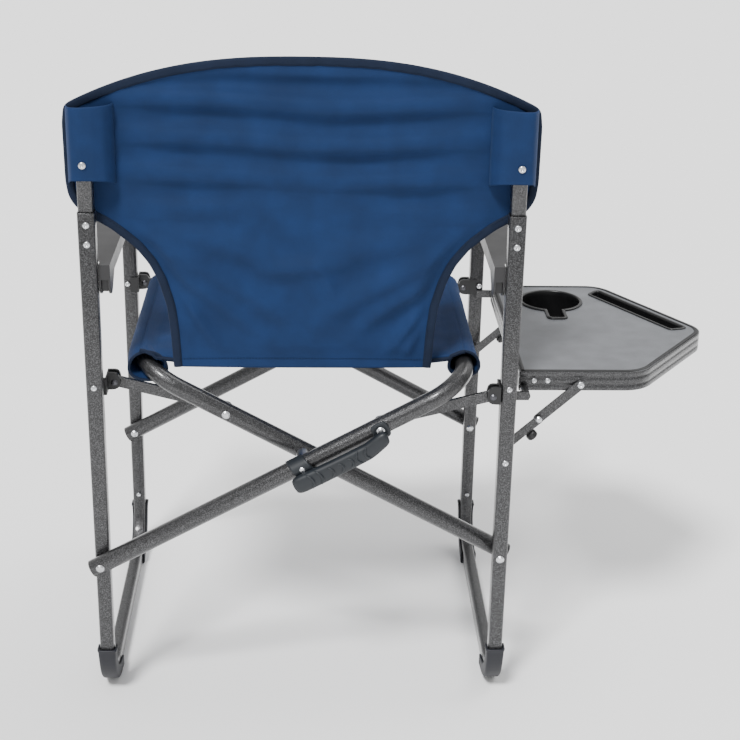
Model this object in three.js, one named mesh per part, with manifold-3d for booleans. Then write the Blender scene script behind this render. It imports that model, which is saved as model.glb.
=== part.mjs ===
// Folding camp chair with a fold-down side table.
//
// Millimetres, +Z up. The sitter faces +Y, and the side table is on the +X side.
// The model is laid out with x = 0 midway between the two side frames, y = 0 at the
// rear legs and z = 0 on the floor. At the end the whole chair is shifted so that the
// origin is the middle of the bottom of its bounding box.
//
// Each side frame is one bent square tube: rear leg, floor runner and front leg. Two
// round scissor tubes cross between them. Each one is a rear diagonal, a seat rail and a
// front diagonal in one piece, and both its low ends are pinned to one side frame.

import * as THREE from 'three';
import { mergeVertices } from 'three/addons/utils/BufferGeometryUtils.js';
import Module from 'manifold-3d';

const wasm = await Module();
wasm.setup();

// ---------------------------------------------------------------- driving dimensions

const GAP = 0.5;                // running gap between pieces that move past each other
const SEAT_GAP = 0.3;           // gap between pieces that are fixed to each other
const FUSE = 0.5;               // overlap of shapes that are joined into one piece

const LEG_SPACING = 560;        // between the centre planes of the two side frames
const FRAME_DEPTH = 460;        // rear leg centre to front leg centre
const LEG_W = 23;               // square leg tube
const LEG_WALL = 1.2;
const LEG_CORNER = 4;
const REAR_LEG_TOP = 728;
const FOOT_BEND = 60;           // bend radius of the tube at the floor, to its centre
const PAD_T = 4;                // wall of a foot pad
const PAD_RISE = 78;            // top of a foot pad
const PAD_RUN = 70.5;           // end of a foot pad under the runner, from the rear leg
const PAD_LIP = 3;              // its sides stop this far outside the tube's middle
const PAD_OVER = 40;            // cutting shapes reach this far past the pad

const POST_WALL = 1.5;          // back post, a square tube that sits in the rear leg
const POST_CORNER = 3;
const POST_DEPTH = 70;          // length of the post inside the leg
const POST_TOP = 866;

const TUBE_D = 25;              // scissor tube
const TUBE_WALL = 1.5;
const TUBE_BEND = 60;           // to the centre line
const TUBE_TAIL = 14;           // tube past its low pin
const LOW_PIN_Z = 225;          // pins at the foot of each diagonal
const RAIL_IN = 58;             // seat rails, inboard of the side frames
const RAIL_Z = 501;
const FOLD_ANGLE = 35;          // turn of a scissor tube from open to folded, in degrees
const LINK_REACH = 120;         // from the crossing to the link pin, along a diagonal

const PIN_R = 4;
const PIN_CLEAR = 0.4;
const HEAD_R = 6;
const HEAD_H = 2.5;
const SPACER_R = 9;

const LINK_H = 15;              // flat links from the legs to the diagonals
const LINK_T = 6;
const LINK_PIN_OFF = 10.5;      // link pin inboard of the leg's inner face
const LINK_PIN_R = 3;
const CHEEK_T = 5.5;            // cheeks of a link bracket
const BRACKET_DROP = 10.5;      // bracket below and above its pin
const BRACKET_RISE = 14;
const BRACKET_NOSE = 8;         // bracket inboard of its pin
const BRACKET_BASE = 4;         // plate of a bracket on the leg's face
const LINK_HEAD_R = 5;

const ARM_TOP = 656;
const ARM_SKIN = 4;             // armrest shell
const ARM_SKIRT = 21;           // depth of its skirt
const ARM_IN = 27;              // inner edge, inboard of the leg centre
const ARM_OUT = 26;             // outer edge, outboard of the leg centre
const ARM_NOSE = 34;            // armrest past the front leg centre
const ARM_CLIP_DROP = 44;       // rear cheeks reach this far below the top
const ARM_CORNER = 20;
const ARM_WALL = 3;
const ARM_REAR = 2;             // armrest behind the rear leg's centre
const ARM_WAIST = 8;            // the outer edge comes in this far in front of the rear leg
const ARM_SWELL = 60;           // and is nearly full width here
const CHEEK_R = 16;
const CHEEK_END = 48;           // front end of a rear cheek
const CLIP_LEN = 26;

const BACK_OVER = 26;           // padded back, outboard of the leg centres
const BACK_T = 11;
const BACK_EDGE_T = 5;          // thinner cloth in front of the posts
const BACK_EDGE = 50;           // width of that thinner strip
const BACK_CLEAR = 1.7;         // rear face of the back, in front of the legs
const BACK_CORNER_Z = 866;      // outer top corner
const BACK_APEX_Z = 929;        // middle of the top edge
const BACK_WING_Z = 730;        // lower end of the padded wings
const BACK_HEM_IN = 107;        // ends of the lower hem, inboard of the leg centres
const BACK_WAIST_Z = 640;       // its sides bend outwards from here
const BACK_SHOULDER_Z = 680;
const BACK_SHOULDER_IN = 65;
const BACK_CROWN_IN = 61;       // where the top edge starts to level out
const BACK_CROWN_DROP = 28;
const BACK_CROWN_X = 120;
const BACK_HEM_Z = 499;
const SLEEVE_CLEAR = 1.26;      // hollow of a post sleeve, past the post's corners
const SLEEVE_IN = 34;           // sleeve seam inboard of the post
const SLEEVE_T = 2.5;
const SLEEVE_LOW_Z = 773;

const SEAT_REAR = 45;
const SEAT_T = 10;
const SEAT_OVER = 3.5;          // top of the seat above the rails
const SLEEVE_WALL = 2;          // fabric tunnel on a rail

const HANDLE_T = 16;            // carry handle, along Y
const HANDLE_H = 27;
const HANDLE_DROP = 14;         // grip centre below the tube centre, across the tube
const HANDLE_LUG_T = 4;
const HANDLE_LUG_R = 12;
const HANDLE_TAIL = 20;         // grip past the crossing pin
const HANDLE_NOSE = 14;         // grip past the upper pin
const HANDLE_SLANT = 8;         // its ends lean by this much
const HANDLE_BELLY = 3;         // bulge of its lower edge
const HANDLE_WELL = 1.5;        // clearance round a rivet head

const TABLE_TOP_Z = 490;
const TABLE_T = 6;              // top board
const TABLE_RIM_T = 3;
const TABLE_RIM_H = 28;
const TABLE_GAP = 20;           // table's inner edge, outboard of the leg centre
const TABLE_INSET = 42;         // its rear and front edges, inside the leg centres
const TABLE_SHORT = 174;        // straight part of the rear and front edges
const TABLE_REACH = 290;        // width of the board up to its rounded tip
const TABLE_TIP_BACK = 16;      // the tip lies this far behind the middle of the chair
const HINGE_Z = 466;            // fold axis of the table
const HINGE_R = 4;
const HINGE_IN = 7;             // fold axis, outboard of the table's inner edge
const HINGE_ARM_R = 6;
const HINGE_PLATE_T = 5;
const HINGE_STUD = 8;           // stud past the inside of the rim
const TABLE_CORNER = 26;
const TABLE_TIP_RUN = 8;        // straight edges meet this far outside the rounded tip
const LEDGE_W = 7;              // ledge that carries the board
const LEDGE_T = 2.5;

const CUP_OUT = 85;             // cup centre, outboard of the table's inner edge
const CUP_IN = 78;              // and behind its front edge
const CUP_R = 44.5;             // inside of the cup holder
const CUP_WALL = 2;
const CUP_FLANGE = 5;
const CUP_DEPTH = 46;
const CUP_FLANGE_T = 2;
const NOTCH_W = 22;             // slot for a mug handle
const NOTCH_L = 34;

const SLOT_IN = 31;             // phone slot centre line, inside the chamfered front edge
const SLOT_W = 21;
const SLOT_END = 21.36;         // it stops this far short of each end of that edge
const SLOT_NIP = 6;             // its inner side is this much shorter at each end
const SLOT_WALL = 2.5;
const SLOT_DEPTH = 20;
const SLOT_FLANGE = 2.5;
const SLOT_FLANGE_T = 1.5;

const STRUT_PIN_Z = 375;        // strut pin on the legs
const STRUT_OUT = 86;           // strut pin on the table rim, outboard of its inner edge
const STRUT_TOP_Z = 472;
const ELBOW = 0.47;             // elbow pin, as a share of the strut from the leg
const STRUT_LOW_W = 12;
const STRUT_UP_W = 14;
const STRUT_T = 3;
const STRUT_PIN_R = 2.5;
const KNOB_R = 8;
const KNOB_H = 10;

// ---------------------------------------------------------------- worked-out dimensions

const HALF = LEG_SPACING / 2;
const LEG_H = LEG_W / 2;
const POST_W = LEG_W - 2 * LEG_WALL - 2 * SEAT_GAP;
const TUBE_R = TUBE_D / 2;
const LINK_PIN_IN = LEG_H + LINK_PIN_OFF;
const RAIL_X = HALF - RAIL_IN;
const BACK_HALF = HALF + BACK_OVER;
const BACK_HEM_HALF = HALF - BACK_HEM_IN;
const BACK_STAND = LEG_H + BACK_CLEAR;
const SLEEVE_R = POST_W / Math.SQRT2 + SLEEVE_CLEAR;
const SEAT_RISE = TUBE_R + SEAT_OVER;
const RAIL_SLEEVE_HOLE = TUBE_R + GAP;
const RAIL_SLEEVE_R = RAIL_SLEEVE_HOLE + SLEEVE_WALL;
const TABLE_INNER_X = HALF + TABLE_GAP;
const TABLE_TIP = TABLE_INNER_X + TABLE_REACH;
const TABLE_REAR_Y = TABLE_INSET;
const TABLE_TIP_Y = FRAME_DEPTH / 2 - TABLE_TIP_BACK;
const TABLE_FRONT_Y = FRAME_DEPTH - TABLE_INSET;
const CUP_X = TABLE_INNER_X + CUP_OUT;
const CUP_Y = TABLE_FRONT_Y - CUP_IN;
const STRUT_TOP_X = TABLE_INNER_X + STRUT_OUT;
const RUNNER_Z = PAD_T + LEG_H;
const DIAG_RUN = HALF + RAIL_X;
const DIAG_RISE = RAIL_Z - LOW_PIN_Z;
const DIAG_LEN = Math.hypot(DIAG_RUN, DIAG_RISE);
const SLOPE = Math.atan2(DIAG_RISE, DIAG_RUN);
const CROSS_U = HALF / Math.cos(SLOPE);
const LINK_U = CROSS_U + LINK_REACH;
const FOLDED = SLOPE + THREE.MathUtils.degToRad(FOLD_ANGLE);
const TUBE_OFFSET = LEG_H + GAP + TUBE_R;
const SEAT_FRONT = FRAME_DEPTH - TUBE_OFFSET - TUBE_BEND - GAP;
const LINK_PIN_X = HALF - LINK_PIN_IN;

// The link keeps one length if its leg pin is as far from the diagonal's link pin when the
// chair is folded as when it is open. Distances here are from the low pin of its own leg.
const linkPinAt = (slope) => [
  (CROSS_U - LINK_REACH) * Math.cos(slope) - LINK_PIN_IN, LINK_U * Math.sin(slope),
];
const [openX, openZ] = linkPinAt(SLOPE);
const [foldedX, foldedZ] = linkPinAt(FOLDED);
const LINK_PIN_UP = (foldedX ** 2 + foldedZ ** 2 - openX ** 2 - openZ ** 2)
  / (2 * (foldedZ - openZ));
const LINK_PIN_Z = LOW_PIN_Z + LINK_PIN_UP;
const LINK_STEP = TUBE_R + GAP + LINK_T / 2;
const ARM_UNDER = ARM_TOP - ARM_SKIN;
const FRONT_LEG_TOP = ARM_UNDER - SEAT_GAP;
const TABLE_UNDER = TABLE_TOP_Z - TABLE_RIM_H;
const HINGE_X = TABLE_INNER_X + HINGE_IN;
const STRUT_Y = TABLE_REAR_Y - GAP - STRUT_T;

// ---------------------------------------------------------------- materials

function finish(name, color, roughness, metalness) {
  const material = new THREE.MeshStandardMaterial({ color, roughness, metalness });
  material.name = name;
  return material;
}

const hammeredSteel = () => finish('hammered_steel', 0x4c4a4a, 0.45, 0.6);
const plainSteel = () => finish('zinc_steel', 0xb8babd, 0.3, 1.0);
const armPlastic = () => finish('arm_plastic', 0x3d3c40, 0.5, 0.0);
const blackPlastic = () => finish('black_plastic', 0x1d1e21, 0.55, 0.0);
const gripPlastic = () => finish('grip_plastic', 0x2c353f, 0.6, 0.0);
const footPlastic = () => finish('foot_plastic', 0x2a2d36, 0.7, 0.0);
const fabric = () => finish('blue_fabric', 0x1b3e6e, 0.85, 0.0);
const boardLaminate = () => finish('grey_board', 0x8d9097, 0.5, 0.0);

// ---------------------------------------------------------------- geometry helpers

// A path through corner points, with each inner corner rounded to one radius. It has
// stations only where the tube starts, ends or turns.
class BentPath extends THREE.Curve {
  constructor(corners, radius, arcSteps) {
    super();
    this.stations = [];
    const last = corners.length - 1;
    const along = (a, b) => b.clone().sub(a).normalize();
    this.stations.push([corners[0], along(corners[0], corners[1])]);
    for (let i = 1; i < last; i += 1) {
      const before = along(corners[i - 1], corners[i]);
      const after = along(corners[i], corners[i + 1]);
      const turn = before.angleTo(after);
      const inset = radius * Math.tan(turn / 2);
      const side = after.clone().sub(before.clone().multiplyScalar(before.dot(after))).normalize();
      const start = corners[i].clone().sub(before.clone().multiplyScalar(inset));
      for (let k = 0; k <= arcSteps; k += 1) {
        const angle = (turn * k) / arcSteps;
        const point = start.clone()
          .add(before.clone().multiplyScalar(radius * Math.sin(angle)))
          .add(side.clone().multiplyScalar(radius * (1 - Math.cos(angle))));
        const tangent = before.clone().multiplyScalar(Math.cos(angle))
          .add(side.clone().multiplyScalar(Math.sin(angle)));
        this.stations.push([point, tangent]);
      }
    }
    this.stations.push([corners[last], along(corners[last - 1], corners[last])]);
    this.steps = this.stations.length - 1;
  }

  at(t) { return this.stations[Math.round(t * this.steps)]; }
  getPoint(t) { return this.at(t)[0].clone(); }
  getPointAt(u) { return this.getPoint(u); }
  getTangent(t) { return this.at(t)[1].clone(); }
  getTangentAt(u) { return this.getTangent(u); }
}

const sweep = (shape, path) => new THREE.ExtrudeGeometry(
  shape, { extrudePath: path, steps: path.steps, curveSegments: 3 },
);

// A flat outline given in x and z, thick along y from y0 to y1.
function plateXZ(shape, y0, y1, curveSegments = 6) {
  const geometry = new THREE.ExtrudeGeometry(
    shape, { depth: y1 - y0, bevelEnabled: false, curveSegments },
  );
  return geometry.rotateX(Math.PI / 2).translate(0, y1, 0);
}

// A flat outline given in x and y, thick along z from z0 to z1.
function plateXY(shape, z0, z1, curveSegments = 6) {
  const geometry = new THREE.ExtrudeGeometry(
    shape, { depth: z1 - z0, bevelEnabled: false, curveSegments },
  );
  return geometry.translate(0, 0, z0);
}

function block(x0, x1, y0, y1, z0, z1) {
  const geometry = new THREE.BoxGeometry(x1 - x0, y1 - y0, z1 - z0);
  return geometry.translate((x0 + x1) / 2, (y0 + y1) / 2, (z0 + z1) / 2);
}

// A round bar along y.
function rodY(radius, y0, y1, x, z, sides = 16) {
  const geometry = new THREE.CylinderGeometry(radius, radius, y1 - y0, sides);
  return geometry.translate(x, (y0 + y1) / 2, z);
}

function roundedSquare(width, corner, wall) {
  const h = width / 2;
  const outline = (path, half, r) => {
    path.moveTo(half - r, -half);
    path.absarc(half - r, -half + r, r, -Math.PI / 2, 0, false);
    path.absarc(half - r, half - r, r, 0, Math.PI / 2, false);
    path.absarc(-half + r, half - r, r, Math.PI / 2, Math.PI, false);
    path.absarc(-half + r, -half + r, r, Math.PI, 1.5 * Math.PI, false);
    path.closePath();
    return path;
  };
  const shape = outline(new THREE.Shape(), h, corner);
  if (wall) shape.holes.push(outline(new THREE.Path(), h - wall, corner - wall));
  return shape;
}

// A ring of straight sides, for round tubes.
function ringShape(radius, hole, sides = 16) {
  const circle = (r) => Array.from({ length: sides }, (_, i) => {
    const angle = (2 * Math.PI * i) / sides;
    return new THREE.Vector2(r * Math.cos(angle), r * Math.sin(angle));
  });
  const shape = new THREE.Shape(circle(radius));
  shape.holes.push(new THREE.Path(circle(hole)));
  return shape;
}

// A straight bar outline with round ends between two points.
function barShape(x0, z0, x1, z1, width) {
  const angle = Math.atan2(z1 - z0, x1 - x0);
  const shape = new THREE.Shape();
  shape.absarc(x0, z0, width / 2, angle + Math.PI / 2, angle + 1.5 * Math.PI, false);
  shape.absarc(x1, z1, width / 2, angle - Math.PI / 2, angle + Math.PI / 2, false);
  shape.closePath();
  return shape;
}

const hole = (x, z, radius) => new THREE.Path().absarc(x, z, radius, 0, 2 * Math.PI, true);

function solid(geometry) {
  const bare = geometry.index ? geometry.toNonIndexed() : geometry.clone();
  bare.deleteAttribute('normal');
  bare.deleteAttribute('uv');
  const merged = mergeVertices(bare, 1e-4);
  const mesh = new wasm.Mesh({
    numProp: 3,
    vertProperties: new Float32Array(merged.attributes.position.array),
    triVerts: new Uint32Array(merged.index.array),
  });
  return new wasm.Manifold(mesh);
}

function geometryOf(manifold) {
  const mesh = manifold.getMesh();
  const geometry = new THREE.BufferGeometry();
  geometry.setAttribute('position', new THREE.BufferAttribute(mesh.vertProperties, 3));
  geometry.setIndex(new THREE.BufferAttribute(mesh.triVerts, 1));
  geometry.computeVertexNormals();
  return geometry;
}

const join = (...parts) => geometryOf(parts.map(solid).reduce((a, b) => a.add(b)));

function cut(body, ...tools) {
  return geometryOf(tools.map(solid).reduce((a, b) => a.subtract(b), solid(body)));
}

// The same piece for the other side of the chair: x becomes -x.
const mirrored = (geometry) => geometryOf(solid(geometry).mirror([1, 0, 0]));

const onSide = (geometry, side) => (side > 0 ? geometry : mirrored(geometry));

// ---------------------------------------------------------------- the chair's group

const chair = new THREE.Group();
const place = (name, geometry, material, parent = chair) => {
  const mesh = new THREE.Mesh(geometry, material);
  mesh.name = name;
  parent.add(mesh);
  return mesh;
};

const SIDES = [['left', -1], ['right', 1]];
const ENDS = [['rear', 0], ['front', FRAME_DEPTH]];

// ---------------------------------------------------------------- side frames

const point = (x, y, z) => new THREE.Vector3(x, y, z);

function sideFrame() {
  const corners = [
    point(0, 0, REAR_LEG_TOP),
    point(0, 0, RUNNER_Z),
    point(0, FRAME_DEPTH, RUNNER_Z),
    point(0, FRAME_DEPTH, FRONT_LEG_TOP),
  ];
  const tube = sweep(
    roundedSquare(LEG_W, LEG_CORNER, LEG_WALL), new BentPath(corners, FOOT_BEND, 7),
  );
  const bores = ENDS.map(([, y]) => rodY(
    PIN_R + PIN_CLEAR, y - LEG_W, y + LEG_W, 0, LOW_PIN_Z, 12,
  ));
  return cut(tube, ...bores);
}

function backPost() {
  const section = roundedSquare(POST_W, POST_CORNER, POST_WALL);
  return plateXY(section, REAR_LEG_TOP - POST_DEPTH, POST_TOP, 3);
}

// A foot pad is a U-shaped shoe that follows the outside of the bend.
function footPad(front) {
  const run = (width, corner, inset, rise, length) => sweep(
    roundedSquare(width, corner),
    new BentPath([
      point(0, inset, rise),
      point(0, inset, RUNNER_Z + inset),
      point(0, length, RUNNER_Z + inset),
    ], FOOT_BEND - inset, 7),
  );
  const top = PAD_RISE + PAD_OVER;
  const end = PAD_RUN + PAD_OVER;
  const shoe = run(LEG_W + 2 * PAD_T, LEG_CORNER, 0, PAD_RISE, PAD_RUN);
  const leg = run(LEG_W + 2 * SEAT_GAP, LEG_CORNER, 0, top, end);
  const inside = run(LEG_W, 1, LEG_H - PAD_LIP, top, end).scale(2, 1, 1);
  const pad = cut(shoe, leg, inside);
  return front ? pad.rotateZ(Math.PI).translate(0, FRAME_DEPTH, 0) : pad;
}

for (const [name, side] of SIDES) {
  place(`side_frame_${name}`, sideFrame(), hammeredSteel()).position.x = side * HALF;
  place(`back_post_${name}`, backPost(), hammeredSteel()).position.x = side * HALF;
  for (const [end] of ENDS) {
    const pad = place(`foot_pad_${end}_${name}`, footPad(end === 'front'), footPlastic());
    pad.position.x = side * HALF;
  }
}

// ---------------------------------------------------------------- armrests

function armOutline(inset) {
  const inner = -ARM_IN + inset;
  const outer = ARM_OUT - inset;
  const rearOuter = -LEG_H - GAP - inset;
  const rear = -ARM_REAR + inset;
  const nose = FRAME_DEPTH + ARM_NOSE - inset;
  const round = ARM_CORNER - inset;
  const waist = LEG_H + ARM_WAIST;
  const shape = new THREE.Shape();
  shape.moveTo(inner, rear);
  shape.lineTo(inner, nose - round);
  shape.quadraticCurveTo(inner, nose, inner + round, nose);
  shape.lineTo(outer - round, nose);
  shape.quadraticCurveTo(outer, nose, outer, nose - round);
  shape.lineTo(outer, FRAME_DEPTH / 2);
  shape.quadraticCurveTo(outer, ARM_SWELL, rearOuter + inset * 2, waist);
  shape.lineTo(rearOuter, waist);
  shape.lineTo(rearOuter, rear);
  shape.closePath();
  return shape;
}

// Laid out for the side where inboard is -x, round its leg centre at x = 0.
function armrest() {
  const edge = ARM_TOP - ARM_SKIRT;
  const shell = plateXY(armOutline(0), edge, ARM_TOP, 5);
  const hollow = plateXY(armOutline(ARM_WALL), edge - 1, ARM_UNDER, 5);
  const middle = ARM_TOP - ARM_CLIP_DROP + CHEEK_R;
  const cheek = new THREE.Shape();
  cheek.moveTo(-ARM_REAR, edge);
  cheek.lineTo(-ARM_REAR, middle);
  cheek.absarc(CHEEK_R - ARM_REAR, middle, CHEEK_R, Math.PI, 1.75 * Math.PI, false);
  cheek.lineTo(CHEEK_END, edge);
  cheek.closePath();
  const cheekAt = (x) => plateXZ(cheek, 0, ARM_WALL, 4)
    .rotateZ(Math.PI / 2)
    .translate(x + ARM_WALL, 0, 0);
  const tray = geometryOf(solid(shell).subtract(solid(hollow)));
  return join(tray, cheekAt(-ARM_IN), cheekAt(-LEG_H - GAP - ARM_WALL));
}

// A black block between the two rear cheeks, which the armrest bolt clamps to the leg.
function armClip() {
  const low = ARM_TOP - ARM_CLIP_DROP + 2 * ARM_WALL;
  const x0 = -ARM_IN + ARM_WALL + SEAT_GAP;
  const x1 = -LEG_H - GAP - ARM_WALL - SEAT_GAP;
  return block(x0, x1, ARM_REAR, CLIP_LEN, low, ARM_UNDER - ARM_REAR);
}

for (const [name, side] of SIDES) {
  const arm = place(`armrest_${name}`, onSide(armrest(), side), armPlastic());
  const clip = place(`armrest_clip_${name}`, onSide(armClip(), side), blackPlastic());
  arm.position.x = side * HALF;
  clip.position.x = side * HALF;
}

// ---------------------------------------------------------------- scissor tubes

// Laid out along +x from the low pin, with the rear diagonal at the given y.
function scissorTube(y) {
  const corners = [
    point(-TUBE_TAIL, y, 0),
    point(DIAG_LEN, y, 0),
    point(DIAG_LEN, y + FRAME_DEPTH, 0),
    point(-TUBE_TAIL, y + FRAME_DEPTH, 0),
  ];
  const tube = sweep(
    ringShape(TUBE_R, TUBE_R - TUBE_WALL), new BentPath(corners, TUBE_BEND, 8),
  );
  const bores = [];
  for (const [, end] of ENDS) {
    for (const u of [0, CROSS_U, LINK_U]) {
      bores.push(rodY(PIN_R + PIN_CLEAR, y + end - TUBE_D, y + end + TUBE_D, u, 0, 10));
    }
  }
  return cut(tube, ...bores);
}

// Groups that hold each tube: x runs up its diagonal from the low pin.
function scissorGroup(x, turn) {
  const group = new THREE.Group();
  group.position.set(x, 0, LOW_PIN_Z);
  group.rotation.y = turn;
  chair.add(group);
  return group;
}

const scissorA = scissorGroup(-HALF, -SLOPE);
const scissorB = scissorGroup(HALF, Math.PI + SLOPE);
place('scissor_tube_a', scissorTube(-TUBE_OFFSET), hammeredSteel(), scissorA);
place('scissor_tube_b', scissorTube(TUBE_OFFSET), hammeredSteel(), scissorB);

// ---------------------------------------------------------------- pins

// A riveted pin along y: domed heads past both faces of the stack, and spacer collars.
function pin(radius, head, y0, y1, collars = []) {
  const profile = [[0, y0 - HEAD_H], [head * 0.6, y0 - HEAD_H * 0.8], [head, y0 - 0.2]];
  profile.push([radius, y0 - 0.2]);
  for (const [a, b] of collars) {
    profile.push([radius, a], [SPACER_R, a], [SPACER_R, b], [radius, b]);
  }
  profile.push([radius, y1 + 0.2], [head, y1 + 0.2]);
  profile.push([head * 0.6, y1 + HEAD_H * 0.8], [0, y1 + HEAD_H]);
  return new THREE.LatheGeometry(profile.map(([r, y]) => new THREE.Vector2(r, y)), 12);
}

for (const [end, y] of ENDS) {
  const reach = TUBE_OFFSET + TUBE_R;
  const between = TUBE_OFFSET - TUBE_R - GAP;
  const near = end === 'rear' ? reach + HANDLE_LUG_T + 2 * SEAT_GAP : reach;
  const cross = pin(PIN_R, HEAD_R, -near, reach, [[-between, between]]);
  const crossPin = place(`cross_pin_${end}`, cross, plainSteel());
  crossPin.position.set(0, y, LOW_PIN_Z + CROSS_U * Math.sin(SLOPE));

  for (const [name, side] of SIDES) {
    const stack = pin(PIN_R, HEAD_R, -LEG_H, reach);
    const lowPin = side > 0 ? stack : stack.rotateX(Math.PI);
    place(`low_pin_${end}_${name}`, lowPin, plainSteel()).position.set(
      side * HALF, y, LOW_PIN_Z,
    );
  }
}

// ---------------------------------------------------------------- links and brackets

const LINK_END_X = LINK_U * Math.cos(SLOPE) - HALF;
const LINK_END_Z = LOW_PIN_Z + LINK_U * Math.sin(SLOPE);

// Laid out for the right side, from the leg pin inboard to the diagonal.
function link() {
  const bar = barShape(LINK_PIN_X, LINK_PIN_Z, LINK_END_X, LINK_END_Z, LINK_H);
  bar.holes.push(hole(LINK_PIN_X, LINK_PIN_Z, LINK_PIN_R + PIN_CLEAR));
  bar.holes.push(hole(LINK_END_X, LINK_END_Z, LINK_PIN_R + PIN_CLEAR));
  return plateXZ(bar, -LINK_T / 2, LINK_T / 2, 6);
}

// Laid out for the right side: two cheeks either side of the link, a wall along the leg's
// inner face and a base on the face of the leg that looks into the chair.
function linkBracket(linkY, inward) {
  const low = LINK_PIN_Z - BRACKET_DROP;
  const high = LINK_PIN_Z + BRACKET_RISE;
  const root = HALF - LEG_H - SEAT_GAP;
  const nose = LINK_PIN_X - BRACKET_NOSE;
  const near = linkY - LINK_T / 2 - GAP;
  const far = linkY + LINK_T / 2 + GAP;
  const cheek = new THREE.Shape();
  cheek.moveTo(root, low);
  cheek.lineTo(root, high);
  cheek.lineTo(LINK_PIN_X, high);
  cheek.quadraticCurveTo(nose, high, nose, LINK_PIN_Z);
  cheek.quadraticCurveTo(nose, low, LINK_PIN_X + 4, low);
  cheek.closePath();
  cheek.holes.push(hole(LINK_PIN_X, LINK_PIN_Z, LINK_PIN_R + PIN_CLEAR));
  const face = inward * (LEG_H + SEAT_GAP);
  const back = face + inward * BRACKET_BASE;
  const y0 = Math.min(near - CHEEK_T, face, back);
  const y1 = Math.max(far + CHEEK_T, face, back);
  const wall = block(LINK_PIN_X + LINK_H / 2 + GAP, root, y0, y1, low, high);
  const base = block(
    root - FUSE, HALF - SEAT_GAP, Math.min(face, back), Math.max(face, back), low, high,
  );
  return join(
    plateXZ(cheek, near - CHEEK_T, near, 4), plateXZ(cheek, far, far + CHEEK_T, 4), wall, base,
  );
}

// The rivet of a link stops flush in the tube, on the side where the link lies.
function tubeRivet(headGap) {
  const face = -TUBE_R - headGap;
  const profile = [
    [0, face - HEAD_H], [HEAD_R * 0.6, face - HEAD_H * 0.8], [HEAD_R, face - SEAT_GAP],
    [PIN_R, face - SEAT_GAP], [PIN_R, TUBE_R - SEAT_GAP], [0, TUBE_R - SEAT_GAP],
  ];
  return new THREE.LatheGeometry(profile.map(([r, y]) => new THREE.Vector2(r, y)), 12);
}

for (const [end, y] of ENDS) {
  for (const [name, side] of SIDES) {
    // Links lie on the far side of their tube, except the front left one.
    const toLink = end === 'front' && side < 0 ? -1 : 1;
    const tube = side > 0 ? -TUBE_OFFSET : TUBE_OFFSET;
    const linkY = tube + toLink * LINK_STEP;
    const bar = place(`link_${end}_${name}`, onSide(link(), side), hammeredSteel());
    bar.position.y = y + linkY;
    const bracket = onSide(linkBracket(linkY, end === 'rear' ? 1 : -1), side);
    place(`link_bracket_${end}_${name}`, bracket, blackPlastic()).position.y = y;

    const stack = LINK_T / 2 + GAP + CHEEK_T;
    const legPin = pin(LINK_PIN_R, LINK_HEAD_R, -stack, stack);
    place(`link_pin_${end}_${name}`, legPin, plainSteel()).position.set(
      side * LINK_PIN_X, y + linkY, LINK_PIN_Z,
    );
    const underHandle = end === 'rear' && side > 0;
    const rivet = tubeRivet(underHandle ? HANDLE_LUG_T + 2 * SEAT_GAP : 0);
    const tubePin = toLink > 0 ? rivet : rivet.rotateX(Math.PI);
    place(`tube_pin_${end}_${name}`, tubePin, plainSteel()).position.set(
      side * LINK_END_X, y + tube, LINK_END_Z,
    );
  }
}

// ---------------------------------------------------------------- carry handle

// On the rear diagonal of tube A: x runs up the diagonal and z across it.
function carryHandle() {
  const face = -TUBE_OFFSET - TUBE_R - SEAT_GAP;
  const lugFace = face - HANDLE_LUG_T;
  const top = -HANDLE_DROP + HANDLE_H / 2;
  const low = -HANDLE_DROP - HANDLE_H / 2;
  const middle = (CROSS_U + LINK_U) / 2;
  const grip = new THREE.Shape();
  grip.moveTo(CROSS_U - HANDLE_TAIL, top - HANDLE_BELLY);
  grip.lineTo(CROSS_U - HANDLE_TAIL + HANDLE_SLANT, low);
  grip.quadraticCurveTo(middle, low - HANDLE_BELLY, LINK_U - HANDLE_SLANT, low + HANDLE_SLANT);
  grip.lineTo(LINK_U + HANDLE_NOSE, -PIN_R);
  grip.lineTo(LINK_U + HANDLE_NOSE - PIN_R, PIN_R);
  grip.lineTo(LINK_U - HANDLE_TAIL, top - HANDLE_BELLY);
  grip.quadraticCurveTo(middle, top - HANDLE_BELLY, CROSS_U + HANDLE_NOSE, top);
  grip.closePath();
  const body = plateXZ(grip, lugFace - HANDLE_T, lugFace + FUSE, 5);
  const lug = (u) => join(
    rodY(HANDLE_LUG_R, lugFace, face, u, 0, 14),
    block(u - HANDLE_LUG_R, u + HANDLE_LUG_R, lugFace, face, -HANDLE_DROP, 0),
  );
  const well = (u) => rodY(HEAD_R + HANDLE_WELL, lugFace - 2 * HANDLE_T, lugFace, u, 0, 12);
  const bore = (u) => rodY(
    PIN_R + PIN_CLEAR, lugFace - HANDLE_LUG_T, face + HANDLE_LUG_T, u, 0, 10,
  );
  const whole = join(body, lug(CROSS_U), lug(LINK_U));
  return cut(whole, well(CROSS_U), well(LINK_U), bore(CROSS_U), bore(LINK_U));
}

place('carry_handle', carryHandle(), gripPlastic(), scissorA);

// ---------------------------------------------------------------- seat

const SLEEVE_REAR = TUBE_OFFSET + TUBE_BEND + GAP;

function railSleeve() {
  const ring = new THREE.ExtrudeGeometry(
    ringShape(RAIL_SLEEVE_R, RAIL_SLEEVE_HOLE),
    { depth: SEAT_FRONT - SLEEVE_REAR, bevelEnabled: false },
  );
  return ring.rotateX(-Math.PI / 2).translate(DIAG_LEN, SLEEVE_REAR, 0);
}

place('seat_sleeve_right', railSleeve(), fabric(), scissorA);
place('seat_sleeve_left', railSleeve(), fabric(), scissorB);

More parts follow.
